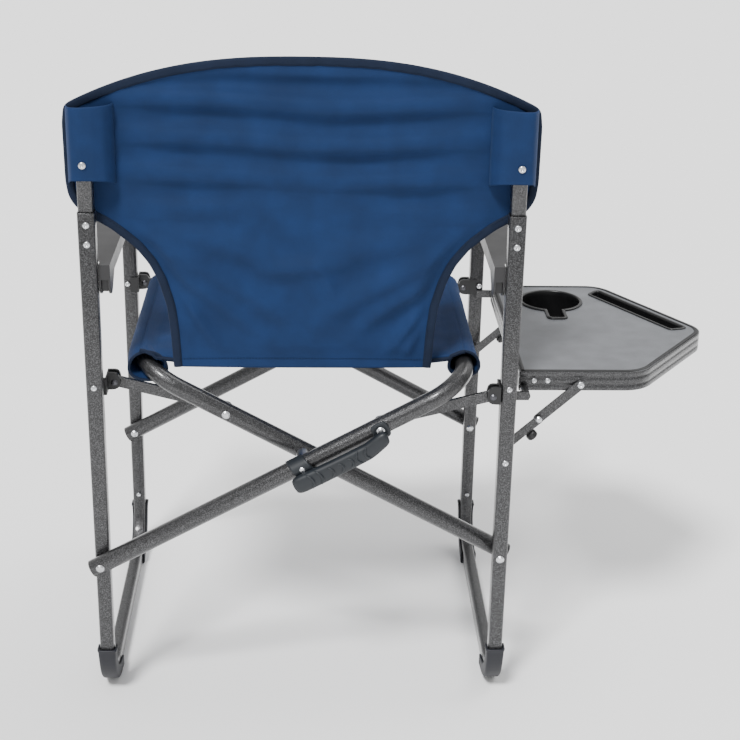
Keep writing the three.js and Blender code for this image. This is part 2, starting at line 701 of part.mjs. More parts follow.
// Half of the seat, clear of the bent part of its rail. The tube's rear diagonal lies at
// the given y.
function seatHalf(tubeY) {
  const outer = RAIL_X - RAIL_SLEEVE_R - GAP;
  const top = RAIL_Z + SEAT_RISE;
  const panel = block(SEAT_GAP / 2, outer, SEAT_REAR, SEAT_FRONT, top - SEAT_T, top);
  const corners = [
    point(-HALF, tubeY, LOW_PIN_Z),
    point(RAIL_X, tubeY, RAIL_Z),
    point(RAIL_X, tubeY + FRAME_DEPTH, RAIL_Z),
  ];
  const clear = ringShape(TUBE_R + SEAT_GAP, TUBE_R / 2);
  return cut(panel, sweep(clear, new BentPath(corners, TUBE_BEND, 8)));
}

// ---------------------------------------------------------------- back

// The right half of the back, laid out round x = 0, with the sleeve for its post.
function backHalf() {
  const y0 = BACK_STAND;
  const outline = new THREE.Shape();
  outline.moveTo(SEAT_GAP / 2, BACK_HEM_Z);
  outline.lineTo(BACK_HEM_HALF, BACK_HEM_Z);
  outline.bezierCurveTo(
    BACK_HEM_HALF, BACK_WAIST_Z, HALF - BACK_SHOULDER_IN, BACK_SHOULDER_Z,
    HALF - LEG_H, BACK_WING_Z - SEAT_T / 2,
  );
  const crown = HALF - BACK_CROWN_IN;
  outline.quadraticCurveTo(BACK_HALF, BACK_WING_Z, BACK_HALF, BACK_WING_Z + 3 * BACK_T);
  outline.lineTo(BACK_HALF - SEAT_T / 3, BACK_CORNER_Z);
  outline.quadraticCurveTo(
    HALF, BACK_CORNER_Z + 2 * SEAT_T, crown, BACK_APEX_Z - BACK_CROWN_DROP,
  );
  outline.quadraticCurveTo(BACK_CROWN_X, BACK_APEX_Z, SEAT_GAP / 2, BACK_APEX_Z);
  outline.closePath();
  const cloth = solid(plateXZ(outline, y0, y0 + BACK_T, 6));
  const edge = block(
    HALF - BACK_EDGE, HALF + BACK_EDGE, y0 + BACK_EDGE_T, y0 + BACK_T + 1, 0, BACK_APEX_Z,
  );
  const panel = cloth.subtract(solid(edge));

  const rear = -SLEEVE_R - SLEEVE_T;
  const outerX = HALF + SLEEVE_R + SLEEVE_T;
  const flap = new THREE.Shape();
  flap.moveTo(HALF - SLEEVE_IN, y0 + 1);
  flap.lineTo(HALF - SLEEVE_IN, 6);
  flap.quadraticCurveTo(HALF - SLEEVE_R, rear, HALF, rear);
  flap.quadraticCurveTo(outerX, rear, outerX, 0);
  flap.lineTo(outerX, y0 + 1);
  flap.closePath();
  const sleeve = plateXY(flap, SLEEVE_LOW_Z, POST_TOP + 4, 5);
  const tall = POST_TOP - SLEEVE_LOW_Z + 2;
  const hollow = new THREE.CylinderGeometry(SLEEVE_R, SLEEVE_R, tall, 16);
  hollow.rotateX(Math.PI / 2).translate(HALF, 0, (POST_TOP + SLEEVE_LOW_Z) / 2);
  const opening = block(
    HALF - SLEEVE_R, HALF + SLEEVE_R, 0, y0, SLEEVE_LOW_Z - 1, POST_TOP + 1,
  );
  return geometryOf(
    solid(sleeve).subtract(solid(hollow)).subtract(solid(opening)).add(
      panel.subtract(solid(hollow)),
    ),
  );
}

for (const [name, side] of SIDES) {
  place(`seat_panel_${name}`, onSide(seatHalf(-side * TUBE_OFFSET), side), fabric());
  place(`back_panel_${name}`, onSide(backHalf(), side), fabric());
}

// ---------------------------------------------------------------- side table

function tableOutline(inset) {
  const corner = TABLE_CORNER - inset;
  const a = new THREE.Vector2(TABLE_INNER_X + inset, TABLE_REAR_Y + inset);
  const b = new THREE.Vector2(TABLE_INNER_X + TABLE_SHORT, TABLE_REAR_Y + inset);
  const tip = new THREE.Vector2(TABLE_TIP + TABLE_TIP_RUN - inset * 1.2, TABLE_TIP_Y);
  const c = new THREE.Vector2(TABLE_INNER_X + TABLE_SHORT, TABLE_FRONT_Y - inset);
  const d = new THREE.Vector2(TABLE_INNER_X + inset, TABLE_FRONT_Y - inset);
  const toward = (from, to, length) => from.clone().add(
    to.clone().sub(from).normalize().multiplyScalar(length),
  );
  const shape = new THREE.Shape();
  shape.moveTo(a.x, a.y);
  const rounded = [[b, a, tip], [tip, b, c], [c, tip, d]];
  for (const [p, before, after] of rounded) {
    const enter = toward(p, before, corner);
    const leave = toward(p, after, corner);
    shape.lineTo(enter.x, enter.y);
    shape.quadraticCurveTo(p.x, p.y, leave.x, leave.y);
  }
  shape.lineTo(d.x, d.y);
  shape.closePath();
  return shape;
}

// The cup hole with its slot for a mug handle, grown by the given amount.
function cupShape(grow, kind = THREE.Shape) {
  const r = CUP_R + grow;
  const half = NOTCH_W / 2 + grow;
  const angle = Math.asin(half / r);
  const shape = new kind();
  shape.absarc(CUP_X, CUP_Y, r, -Math.PI / 2 + angle, 1.5 * Math.PI - angle, false);
  shape.lineTo(CUP_X - half, CUP_Y - CUP_R - NOTCH_L - grow);
  shape.lineTo(CUP_X + half, CUP_Y - CUP_R - NOTCH_L - grow);
  shape.closePath();
  return shape;
}

// The phone slot runs beside the chamfered front edge of the table.
const EDGE_A = new THREE.Vector2(TABLE_INNER_X + TABLE_SHORT, TABLE_FRONT_Y);
const EDGE_B = new THREE.Vector2(TABLE_TIP + TABLE_TIP_RUN, TABLE_TIP_Y);
const EDGE_TURN = Math.atan2(EDGE_B.y - EDGE_A.y, EDGE_B.x - EDGE_A.x);
const SLOT_L = EDGE_A.distanceTo(EDGE_B) - 2 * SLOT_END;

function slotShape(grow, kind = THREE.Shape) {
  const middle = EDGE_A.clone().add(EDGE_B).multiplyScalar(0.5);
  const inward = new THREE.Vector2(Math.sin(EDGE_TURN), -Math.cos(EDGE_TURN));
  const centre = middle.add(inward.multiplyScalar(SLOT_IN));
  const halfL = SLOT_L / 2 + grow;
  const halfW = SLOT_W / 2 + grow;
  const local = [
    [-halfL, halfW], [-halfL + SLOT_NIP, -halfW], [halfL - SLOT_NIP, -halfW], [halfL, halfW],
  ];
  const points = local.map(([x, y]) => new THREE.Vector2(
    centre.x + x * Math.cos(EDGE_TURN) - y * Math.sin(EDGE_TURN),
    centre.y + x * Math.sin(EDGE_TURN) + y * Math.cos(EDGE_TURN),
  ));
  return new kind(points);
}

const RIM_CLEAR = TABLE_RIM_T + SEAT_GAP;

function tableTop() {
  const board = tableOutline(RIM_CLEAR);
  board.holes.push(cupShape(CUP_WALL + 2 * SEAT_GAP, THREE.Path));
  board.holes.push(slotShape(SLOT_WALL + SEAT_GAP, THREE.Path));
  return plateXY(board, TABLE_TOP_Z - TABLE_T, TABLE_TOP_Z, 12);
}

function tableRim() {
  const ring = tableOutline(0);
  ring.holes.push(new THREE.Path(tableOutline(TABLE_RIM_T).getPoints(6)));
  const band = plateXY(ring, TABLE_UNDER, TABLE_TOP_Z, 6);
  const shelf = tableOutline(TABLE_RIM_T - 0.5);
  shelf.holes.push(new THREE.Path(tableOutline(TABLE_RIM_T + LEDGE_W).getPoints(6)));
  const ledge = plateXY(shelf, TABLE_UNDER, TABLE_UNDER + LEDGE_T, 6);
  const through = TABLE_RIM_T + LEDGE_W + HINGE_R;
  const bore = (y) => rodY(HINGE_R + PIN_CLEAR, y - through, y + through, HINGE_X, HINGE_Z, 10);
  return cut(join(band, ledge), bore(TABLE_REAR_Y), bore(TABLE_FRONT_Y));
}

function cupHolder() {
  const under = TABLE_TOP_Z + SEAT_GAP;
  const flange = cupShape(CUP_FLANGE);
  flange.holes.push(cupShape(0, THREE.Path));
  const wall = cupShape(CUP_WALL);
  wall.holes.push(cupShape(0, THREE.Path));
  const floor = TABLE_TOP_Z - CUP_DEPTH;
  return join(
    plateXY(flange, under, under + CUP_FLANGE_T, 12),
    plateXY(wall, floor, under + 1, 12),
    plateXY(cupShape(CUP_WALL), floor - CUP_WALL, floor + FUSE, 12),
  );
}

function phoneSlot() {
  const under = TABLE_TOP_Z + SEAT_GAP;
  const flange = slotShape(SLOT_WALL + SLOT_FLANGE);
  flange.holes.push(slotShape(0, THREE.Path));
  const wall = slotShape(SLOT_WALL);
  wall.holes.push(slotShape(0, THREE.Path));
  const floor = TABLE_TOP_Z - SLOT_DEPTH;
  return join(
    plateXY(flange, under, under + SLOT_FLANGE_T),
    plateXY(wall, floor, under + 1),
    plateXY(slotShape(SLOT_WALL), floor - SLOT_WALL, floor + FUSE),
  );
}

place('table_top', tableTop(), boardLaminate());
place('table_rim', tableRim(), hammeredSteel());
place('cup_holder', cupHolder(), blackPlastic());
place('phone_slot', phoneSlot(), blackPlastic());

// A hinge bracket: a plate on the outer half of the leg's face that looks into the chair,
// an arm along y to the table, and a stud that the table rim turns on.
function hingeBracket(reach) {
  const base = LEG_H + SEAT_GAP;
  const plate = block(
    HALF + SEAT_GAP, HINGE_X + HINGE_R, base, base + HINGE_PLATE_T,
    HINGE_Z - HINGE_ARM_R, HINGE_Z + HINGE_ARM_R,
  );
  const arm = rodY(HINGE_ARM_R, base, reach - GAP, HINGE_X, HINGE_Z, 12);
  const stud = rodY(
    HINGE_R, reach - 4 * GAP, reach + TABLE_RIM_T + HINGE_STUD, HINGE_X, HINGE_Z, 10,
  );
  return join(plate, arm, stud);
}

const rearHinge = hingeBracket(TABLE_REAR_Y);
const frontHinge = mirrored(hingeBracket(FRAME_DEPTH - TABLE_FRONT_Y).rotateZ(Math.PI));
place('table_hinge_rear', rearHinge, blackPlastic());
place('table_hinge_front', frontHinge, blackPlastic()).position.y = FRAME_DEPTH;

// ---------------------------------------------------------------- table struts

const ELBOW_X = HALF + ELBOW * (STRUT_TOP_X - HALF);
const ELBOW_Z = STRUT_PIN_Z + ELBOW * (STRUT_TOP_Z - STRUT_PIN_Z);
const STRUT_ANGLE = Math.atan2(STRUT_TOP_Z - STRUT_PIN_Z, STRUT_TOP_X - HALF);

// The lower strut lies on the leg side of the upper one. A boss at its foot stands off
// the leg.
function lowerStrut() {
  const bar = barShape(HALF, STRUT_PIN_Z, ELBOW_X, ELBOW_Z, STRUT_LOW_W);
  bar.holes.push(hole(ELBOW_X, ELBOW_Z, STRUT_PIN_R + PIN_CLEAR));
  const y1 = STRUT_Y - GAP;
  const boss = rodY(
    STRUT_LOW_W / 2 - FUSE, LEG_H + SEAT_GAP, y1 - STRUT_T + FUSE, HALF, STRUT_PIN_Z, 12,
  );
  return join(plateXZ(bar, y1 - STRUT_T, y1, 5), boss);
}

function upperStrut() {
  const bar = barShape(ELBOW_X, ELBOW_Z, STRUT_TOP_X, STRUT_TOP_Z, STRUT_UP_W);
  bar.holes.push(hole(ELBOW_X, ELBOW_Z, STRUT_PIN_R + PIN_CLEAR));
  return plateXZ(bar, STRUT_Y, STRUT_Y + STRUT_T, 5);
}

// The lock knob turns on an axis that lies across the strut.
const KNOB_BACK = 22;            // knob centre from the elbow, towards the leg
const knobAxis = new THREE.Vector3(Math.sin(STRUT_ANGLE), 0, -Math.cos(STRUT_ANGLE));

function lockKnob() {
  const inner = STRUT_LOW_W / 2 + GAP;
  const profile = [
    [0, inner], [KNOB_R - 2, inner], [KNOB_R, inner + 2],
    [KNOB_R, inner + KNOB_H - 2], [KNOB_R - 2, inner + KNOB_H], [0, inner + KNOB_H],
  ];
  return new THREE.LatheGeometry(profile.map(([r, y]) => new THREE.Vector2(r, y)), 12);
}

// The elbow rivet has a head on the leg side only: on the table side it is flush, because
// the rim of the folded table passes there.
function elbowPin() {
  const face = -STRUT_T - GAP;
  const profile = [
    [0, face - HEAD_H], [3, face - HEAD_H * 0.8], [5, face - SEAT_GAP],
    [STRUT_PIN_R, face - SEAT_GAP], [STRUT_PIN_R, STRUT_T], [0, STRUT_T],
  ];
  return new THREE.LatheGeometry(profile.map(([r, y]) => new THREE.Vector2(r, y)), 12);
}

for (const [end, y] of ENDS) {
  const inward = end === 'rear' ? 1 : -1;
  const turn = (geometry) => (inward > 0 ? geometry : mirrored(geometry.rotateZ(Math.PI)));
  place(`strut_lower_${end}`, turn(lowerStrut()), hammeredSteel()).position.y = y;
  place(`strut_upper_${end}`, turn(upperStrut()), hammeredSteel()).position.y = y;
  const pinMesh = place(`elbow_pin_${end}`, turn(elbowPin()), plainSteel());
  pinMesh.position.set(ELBOW_X, y + inward * STRUT_Y, ELBOW_Z);
  const knob = place(`lock_knob_${end}`, lockKnob(), blackPlastic());
  knob.quaternion.setFromUnitVectors(new THREE.Vector3(0, 1, 0), knobAxis);
  knob.position.set(
    ELBOW_X - KNOB_BACK * Math.cos(STRUT_ANGLE),
    y + inward * (STRUT_Y - GAP - STRUT_T / 2),
    ELBOW_Z - KNOB_BACK * Math.sin(STRUT_ANGLE),
  );
}

// ---------------------------------------------------------------- origin

chair.updateMatrixWorld(true);
const bounds = new THREE.Box3().setFromObject(chair, true);
const middle = bounds.getCenter(new THREE.Vector3());
chair.position.set(-middle.x, -middle.y, -bounds.min.z);

const part = new THREE.Group();
part.add(chair);
export default part;
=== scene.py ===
"""Looks of a folding camp chair with a fold-down side table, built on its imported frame."""
import math

import bmesh
import bpy
import numpy as np
from mathutils import Matrix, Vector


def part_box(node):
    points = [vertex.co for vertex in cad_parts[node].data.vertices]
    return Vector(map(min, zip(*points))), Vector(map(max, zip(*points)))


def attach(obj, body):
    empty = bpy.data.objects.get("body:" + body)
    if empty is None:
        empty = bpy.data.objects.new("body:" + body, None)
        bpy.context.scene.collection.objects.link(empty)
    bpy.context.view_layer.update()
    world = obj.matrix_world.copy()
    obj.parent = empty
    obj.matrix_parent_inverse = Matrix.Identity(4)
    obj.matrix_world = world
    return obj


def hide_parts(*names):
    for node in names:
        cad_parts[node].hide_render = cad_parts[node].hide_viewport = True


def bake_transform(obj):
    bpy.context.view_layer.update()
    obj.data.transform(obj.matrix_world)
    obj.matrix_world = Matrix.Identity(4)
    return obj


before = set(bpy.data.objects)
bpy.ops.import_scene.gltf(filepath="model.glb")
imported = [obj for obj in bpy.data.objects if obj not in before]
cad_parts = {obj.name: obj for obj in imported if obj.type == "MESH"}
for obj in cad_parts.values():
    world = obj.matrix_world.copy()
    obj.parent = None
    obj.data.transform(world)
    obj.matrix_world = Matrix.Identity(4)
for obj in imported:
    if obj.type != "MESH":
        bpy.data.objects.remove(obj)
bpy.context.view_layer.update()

bl_info = {
    "name": "Folding camp chair",
    "version": (1, 0, 0),
    "blender": (4, 5, 0),
    "location": "3D View > Sidebar > Camp chair",
    "description": "Builds the cloth, paint, plastics and stage of a folding camp chair",
    "category": "Object",
}

SIDES = (("left", -1), ("right", 1))
ENDS = ("rear", "front")

# Distances in metres in the chair's own frame: x = 0 midway between the side frames, y = 0
# at the rear legs and z = 0 on the floor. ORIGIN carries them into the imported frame.
LEG_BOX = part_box("side_frame_left"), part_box("side_frame_right")
LEG_W = LEG_BOX[0][1].x - LEG_BOX[0][0].x
HALF = (LEG_BOX[1][0].x - LEG_BOX[0][0].x) / 2
DEPTH = LEG_BOX[0][1].y - LEG_BOX[0][0].y - LEG_W
ORIGIN = np.array([
    (LEG_BOX[0][0].x + LEG_BOX[1][1].x) / 2, LEG_BOX[0][0].y + LEG_W / 2, 0.0,
])
LEG_TOP = LEG_BOX[0][1].z
FRONT_TOP = 0.6517
RUNNER_Z = LEG_BOX[0][0].z + LEG_W / 2
LOW_PIN_Z = 0.225
RAIL_X = 0.222
RAIL_Z = 0.501
TUBE_R = 0.0125
TUBE_Y = LEG_W / 2 + 0.0005 + TUBE_R
SLOPE = math.atan2(RAIL_Z - LOW_PIN_Z, HALF + RAIL_X)
CROSS_U = HALF / math.cos(SLOPE)
LINK_U = CROSS_U + 0.120
TABLE_Z = 0.490
TABLE_IN, TABLE_OUT = 0.300, 0.474      # straight part of the table's long edges
TABLE_REAR, TABLE_FRONT = 0.042, 0.418
TABLE_TIP = (0.598, 0.214)              # where its two slanted edges would meet
CUP_MIDDLE = (0.385, 0.340)
CUP_R, CUP_DEPTH = 0.0445, 0.046
NOTCH_HALF, NOTCH_REACH = 0.011, 0.0785 # slot for a mug's handle, reach from the cup's middle
SLOT_HALF_L, SLOT_HALF_W, SLOT_NIP = 0.098, 0.0105, 0.006
SLOT_IN, SLOT_DEPTH = 0.031, 0.020      # its middle line lies this far inside the slanted edge
LEG_CORNER = 0.004
POST_WIDTH, POST_CORNER = 0.020, 0.003
TUBE_TAIL = 0.014                       # scissor tube past its low pin


# ---------------------------------------------------------------- sizes and colours

class CampChairSizes(bpy.types.PropertyGroup):
    """Sizes that a user would change."""

    foot_bend: bpy.props.FloatProperty(
        name="Foot bend", description="Bend radius of the side frame at the floor",
        default=0.060, unit="LENGTH")
    tube_bend: bpy.props.FloatProperty(
        name="Tube bend", description="Bend radius of the scissor tubes at the seat rails",
        default=0.060, unit="LENGTH")
    binding_width: bpy.props.FloatProperty(
        name="Binding width", description="Width of the tape sewn over the cloth's edges",
        default=0.0108, unit="LENGTH")
    wrinkle_depth: bpy.props.FloatProperty(
        name="Wrinkle depth", description="Depth of the pulls across the back",
        default=0.0088, unit="LENGTH")
    stitch_pitch: bpy.props.FloatProperty(
        name="Stitch pitch", description="Distance from one stitch to the next",
        default=0.0042, unit="LENGTH")
    weave_pitch: bpy.props.FloatProperty(
        name="Weave pitch", description="Distance from one thread to the next",
        default=0.0008, unit="LENGTH")


class CampChairColours(bpy.types.PropertyGroup):
    """Colours that a user would change."""

    cloth: bpy.props.FloatVectorProperty(
        name="Cloth", description="Blue of the seat and back", subtype="COLOR",
        default=(0.0042, 0.0200, 0.0720))
    binding: bpy.props.FloatVectorProperty(
        name="Binding", description="Navy of the edge tape", subtype="COLOR",
        default=(0.0040, 0.0095, 0.0260))
    paint: bpy.props.FloatVectorProperty(
        name="Paint", description="Ground colour of the hammered paint", subtype="COLOR",
        default=(0.0180, 0.0180, 0.0188))
    board: bpy.props.FloatVectorProperty(
        name="Board", description="Grey of the table top", subtype="COLOR",
        default=(0.125, 0.130, 0.140))


# ---------------------------------------------------------------- surfaces with numpy

def unit(vectors):
    """Each vector divided by its own length."""
    return vectors / np.maximum(np.linalg.norm(vectors, axis=-1, keepdims=True), 1e-12)


def grid_quads(rows, columns, wrap_rows=False, wrap_columns=False, start=0):
    """Quads of a grid: corner (i, j) has index start + i * columns + j."""
    i = np.arange(rows if wrap_rows else rows - 1)[:, None]
    j = np.arange(columns if wrap_columns else columns - 1)[None, :]
    i2, j2 = (i + 1) % rows, (j + 1) % columns
    corners = [i * columns + j, i * columns + j2, i2 * columns + j2, i2 * columns + j]
    return np.stack([c + np.zeros_like(i + j) for c in corners], -1).reshape(-1, 4) + start


class Surface:
    """Points and faces of one piece, gathered from several grids."""

    def __init__(self):
        self.points, self.faces, self.uv, self.count = [], [], [], 0

    def add(self, points, wrap_rows=False, wrap_columns=False, uv=None):
        """A grid of points, rows by columns by 3."""
        rows, columns = points.shape[:2]
        self.faces.append(grid_quads(rows, columns, wrap_rows, wrap_columns, self.count))
        self.points.append(points.reshape(-1, 3))
        plain = points[..., (0, 2)] if uv is None else uv
        self.uv.append(np.asarray(plain, float).reshape(-1, 2))
        self.count += rows * columns
        return self

    def piece(self, name, material, body=None, smooth=True, replaces=(), slot=None):
        """Puts the grids into one mesh object, welds their seams and turns its faces outwards."""
        points = np.concatenate(self.points) + ORIGIN
        faces = np.concatenate(self.faces)
        mesh = bpy.data.meshes.new(name)
        mesh.from_pydata(points.tolist(), [], faces.tolist())
        layer = mesh.uv_layers.new(name="ClothUV")
        loops = np.empty(len(mesh.loops), np.int32)
        mesh.loops.foreach_get("vertex_index", loops)
        layer.data.foreach_set("uv", np.concatenate(self.uv)[loops].astype(np.float32).ravel())
        work = bmesh.new()
        work.from_mesh(mesh)
        bmesh.ops.remove_doubles(work, verts=work.verts, dist=2e-6)
        bmesh.ops.dissolve_degenerate(work, edges=work.edges, dist=1e-7)
        bmesh.ops.recalc_face_normals(work, faces=work.faces)
        work.to_mesh(mesh)
        work.free()
        mesh.polygons.foreach_set("use_smooth", [smooth] * len(mesh.polygons))
        mesh.materials.append(material)
        obj = bpy.data.objects.new(name, mesh)
        bpy.context.scene.collection.objects.link(obj)
        if body:
            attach(obj, body)
        if replaces:
            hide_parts(*replaces)
        return obj


def bent_path(corners, radius, steps=14, spacing=None):
    """Points and tangents of a path through the corners, each inner corner an arc.

    An arc starts radius * tan(turn / 2) before its corner and turns evenly. Straight runs
    are divided at the given spacing.
    """
    corners = np.asarray(corners, float)
    points, tangents = [corners[:1]], [unit(corners[1] - corners[0])[None]]
    for before, corner, after in zip(corners[:-2], corners[1:-1], corners[2:]):
        a, b = unit(corner - before), unit(after - corner)
        turn = math.acos(float(np.clip(a @ b, -1, 1)))
        side = unit(b - a * (a @ b))
        angle = np.linspace(0, turn, steps)[:, None]
        start = corner - a * radius * math.tan(turn / 2)
        arc = start + radius * (a * np.sin(angle) + side * (1 - np.cos(angle)))
        points.append(arc)
        tangents.append(a * np.cos(angle) + side * np.sin(angle))
    points.append(corners[-1:])
    tangents.append(unit(corners[-1] - corners[-2])[None])
    points, tangents = np.concatenate(points), np.concatenate(tangents)
    if spacing:
        gap = np.linalg.norm(np.diff(points, axis=0), axis=1)
        at = np.concatenate([[0], np.cumsum(gap)])
        parts = [np.linspace(a, b, max(2, int(math.ceil((b - a) / spacing)) + 1))[:-1]
                 for a, b in zip(at[:-1], at[1:])]
        new = np.concatenate(parts + [at[-1:]])
        points = np.stack([np.interp(new, at, points[:, k]) for k in range(3)], 1)
        tangents = unit(np.stack([np.interp(new, at, tangents[:, k]) for k in range(3)], 1))
    return points, tangents


def open_ends(points, tangents, wall, depth=0.02, lip=0.0006):
    """Adds the mouth of a hollow tube at both ends of a path.

    Returns points, tangents and, for each station, how much of the section's radius is left:
    the section steps in over a small lip and runs back inside the tube.
    """
    first, last = tangents[:1], tangents[-1:]
    start, end = points[:1], points[-1:]
    head = [start + first * depth, start + first * lip, start, start]
    tail = [end, end, end - last * lip, end - last * depth]
    scale_in = np.array([wall, wall, wall + (1 - wall) * 0.3, 1 - (1 - wall) * 0.15])
    new_points = np.concatenate(head + [points[:1] + first * lip, points[1:-1]]
                                + [end - last * lip] + tail)
    new_tangents = np.concatenate([first] * 5 + [tangents[1:-1]] + [last] * 5)
    scales = np.concatenate([scale_in, np.ones(len(points)), scale_in[::-1]])
    return new_points, new_tangents, scales


def swept(points, tangents, section, binormal, scales=None, widths=None):
    """A section carried along a path: point + x * (binormal cross tangent) + y * binormal.

    Scales change the whole section and widths change its size along the binormal.
    """
    across = unit(np.cross(np.broadcast_to(binormal, tangents.shape), tangents))
    up = unit(np.cross(tangents, across))
    size = np.ones(len(points)) if scales is None else scales
    flat = section[None] * size[:, None, None]
    if widths is not None:
        flat = flat * np.stack([np.ones(len(points)), widths], 1)[:, None]
    return (points[:, None] + flat[..., :1] * across[:, None] + flat[..., 1:] * up[:, None])


def rim_of(grid):
    """The outer ring of a grid's points, once round."""
    return np.concatenate([grid[0, :-1], grid[:-1, -1], grid[-1, :0:-1], grid[:0:-1, 0]])


def lidded(grid):
    """The grid with its first and last ring closed on their own middles."""
    first = np.broadcast_to(grid[:1].mean(1, keepdims=True), grid[:1].shape)
    last = np.broadcast_to(grid[-1:].mean(1, keepdims=True), grid[-1:].shape)
    return np.concatenate([first, grid, last])


def round_section(radius, sides=32, flat=1.0):
    """A circle, or an oval whose height is flat times its width."""
    angle = np.arange(sides) * 2 * math.pi / sides
    return np.stack([radius * np.cos(angle), radius * flat * np.sin(angle)], 1)


def square_section(width, corner, steps=5):
    """A square with round corners: four quarter circles, one after the other."""
    quarter = np.linspace(0, math.pi / 2, steps)
    middle = width / 2 - corner
    turns = np.arange(4)[:, None] * math.pi / 2 + quarter[None]
    signs = np.array([[1, 1], [-1, 1], [-1, -1], [1, -1]], float)
    arc = np.stack([np.cos(turns), np.sin(turns)], -1) * corner
    return (signs[:, None] * middle + arc).reshape(-1, 2)


def smooth_noise(a, b, seed, waves=7, low=1.0, high=4.0):
    """A sum of plane waves in random directions, from about -1 to 1."""
    rng = np.random.default_rng(seed)
    total = np.zeros(np.broadcast(a, b).shape)
    for turn, rate, phase in zip(rng.uniform(0, math.pi, waves), rng.uniform(low, high, waves),
                                 rng.uniform(0, 2 * math.pi, waves)):
        total += np.sin(2 * math.pi * rate * (a * math.cos(turn) + b * math.sin(turn)) + phase)
    return total / waves


def on_diagonal(u, v, y):
    """Places lengths along and across tube A's diagonal into the chair's frame."""
    u, v, y = np.broadcast_arrays(u, v, y)
    x = -HALF + u * math.cos(SLOPE) - v * math.sin(SLOPE)
    z = LOW_PIN_Z + u * math.sin(SLOPE) + v * math.cos(SLOPE)
    return np.stack([x, y, z], -1)


# ---------------------------------------------------------------- shader node groups

def node(tree, kind, x=0, y=0, **settings):
    """A new shader node at a place in its tree, with its settings."""
    made = tree.nodes.new(kind)
    made.location = (x, y)
    for key, value in settings.items():
        setattr(made, key, value)
    return made


def wire(tree, source, target):
    """Joins an output to an input."""
    tree.links.new(source, target)


def maths(tree, operation, a, b=None, x=0, y=0):
    """A maths node on numbers or sockets; gives its output."""
    made = node(tree, "ShaderNodeMath", x, y, operation=operation)
    for index, value in enumerate((a, b)):
        if value is None:
            continue
        if isinstance(value, (int, float)):
            made.inputs[index].default_value = value
        else:
            wire(tree, value, made.inputs[index])
    return made.outputs[0]


def ramp(tree, fac, stops, x=0, y=0):
    """A colour ramp with a colour at each stop; gives its colour."""
    made = node(tree, "ShaderNodeValToRGB", x, y)
    elements = made.color_ramp.elements
    while len(elements) < len(stops):
        elements.new(0.5)
    for element, (at, colour) in zip(elements, stops):
        element.position = at
        element.color = (*colour, 1)
    wire(tree, fac, made.inputs["Fac"])
    return made.outputs["Color"]


def new_group(name, inputs, outputs):
    """An empty node group with its sockets, and its input and output nodes."""
    group = bpy.data.node_groups.new(name, "ShaderNodeTree")
    for label, kind, default in inputs:
        socket = group.interface.new_socket(label, in_out="INPUT", socket_type=kind)
        if default is not None:
            socket.default_value = default
    for label, kind in outputs:
        group.interface.new_socket(label, in_out="OUTPUT", socket_type=kind)
    return group, node(group, "NodeGroupInput", -900), node(group, "NodeGroupOutput", 900)


def weave_group():
    """Plain weave: threads rise and fall as the product of two sines, half a pitch apart."""
    group, into, out = new_group("Woven threads", [
        ("Vector", "NodeSocketVector", None), ("Pitch", "NodeSocketFloat", 0.0008),
    ], [("Height", "NodeSocketFloat"), ("Mottle", "NodeSocketFloat")])
    split = node(group, "ShaderNodeSeparateXYZ", -700)
    wire(group, into.outputs["Vector"], split.inputs[0])
    rate = maths(group, "DIVIDE", math.pi, into.outputs["Pitch"], -700, -200)
    across = maths(group, "SINE", maths(group, "MULTIPLY", split.outputs["X"], rate))
    along = maths(group, "SINE", maths(group, "MULTIPLY", split.outputs["Y"], rate))
    weave = maths(group, "MULTIPLY", across, along)
    slubs = node(group, "ShaderNodeTexNoise", -400, -400)
    slubs.inputs["Scale"].default_value = 900
    slubs.inputs["Detail"].default_value = 2
    wire(group, into.outputs["Vector"], slubs.inputs["Vector"])
    height = maths(group, "ADD", maths(group, "MULTIPLY", weave, 0.35), slubs.outputs["Fac"])
    wire(group, height, out.inputs["Height"])
    clouds = node(group, "ShaderNodeTexNoise", -400, -700)
    clouds.inputs["Scale"].default_value = 22
    clouds.inputs["Detail"].default_value = 5
    wire(group, into.outputs["Vector"], clouds.inputs["Vector"])
    mottle = maths(group, "ADD", maths(group, "MULTIPLY", clouds.outputs["Fac"], 0.6),
                   maths(group, "MULTIPLY", slubs.outputs["Fac"], 0.4))
    wire(group, mottle, out.inputs["Mottle"])
    return group


def hammered_group():
    """Hammered paint: round pools of paint, whose rims are light and whose middles are dark."""
    group, into, out = new_group("Hammered pools", [
        ("Vector", "NodeSocketVector", None), ("Scale", "NodeSocketFloat", 520.0),
    ], [("Pools", "NodeSocketFloat"), ("Height", "NodeSocketFloat")])
    warp = node(group, "ShaderNodeTexNoise", -700, -300)
    warp.inputs["Scale"].default_value = 260
    wire(group, into.outputs["Vector"], warp.inputs["Vector"])
    push = node(group, "ShaderNodeVectorMath", -500, -300, operation="SCALE")
    wire(group, warp.outputs["Color"], push.inputs[0])
    push.inputs["Scale"].default_value = 0.0016
    moved = node(group, "ShaderNodeVectorMath", -300, -200, operation="ADD")
    wire(group, into.outputs["Vector"], moved.inputs[0])
    wire(group, push.outputs[0], moved.inputs[1])
    cells = node(group, "ShaderNodeTexVoronoi", -100, 0, feature="SMOOTH_F1")
    cells.inputs["Smoothness"].default_value = 0.35
    wire(group, moved.outputs[0], cells.inputs["Vector"])
    wire(group, into.outputs["Scale"], cells.inputs["Scale"])
    grains = node(group, "ShaderNodeTexNoise", -100, -400)
    grains.inputs["Scale"].default_value = 900
    grains.inputs["Detail"].default_value = 3
    wire(group, into.outputs["Vector"], grains.inputs["Vector"])
    mixed = maths(group, "ADD", cells.outputs["Distance"],
                  maths(group, "MULTIPLY", grains.outputs["Fac"], 0.45))
    wire(group, mixed, out.inputs["Pools"])
    wire(group, cells.outputs["Distance"], out.inputs["Height"])
    return group


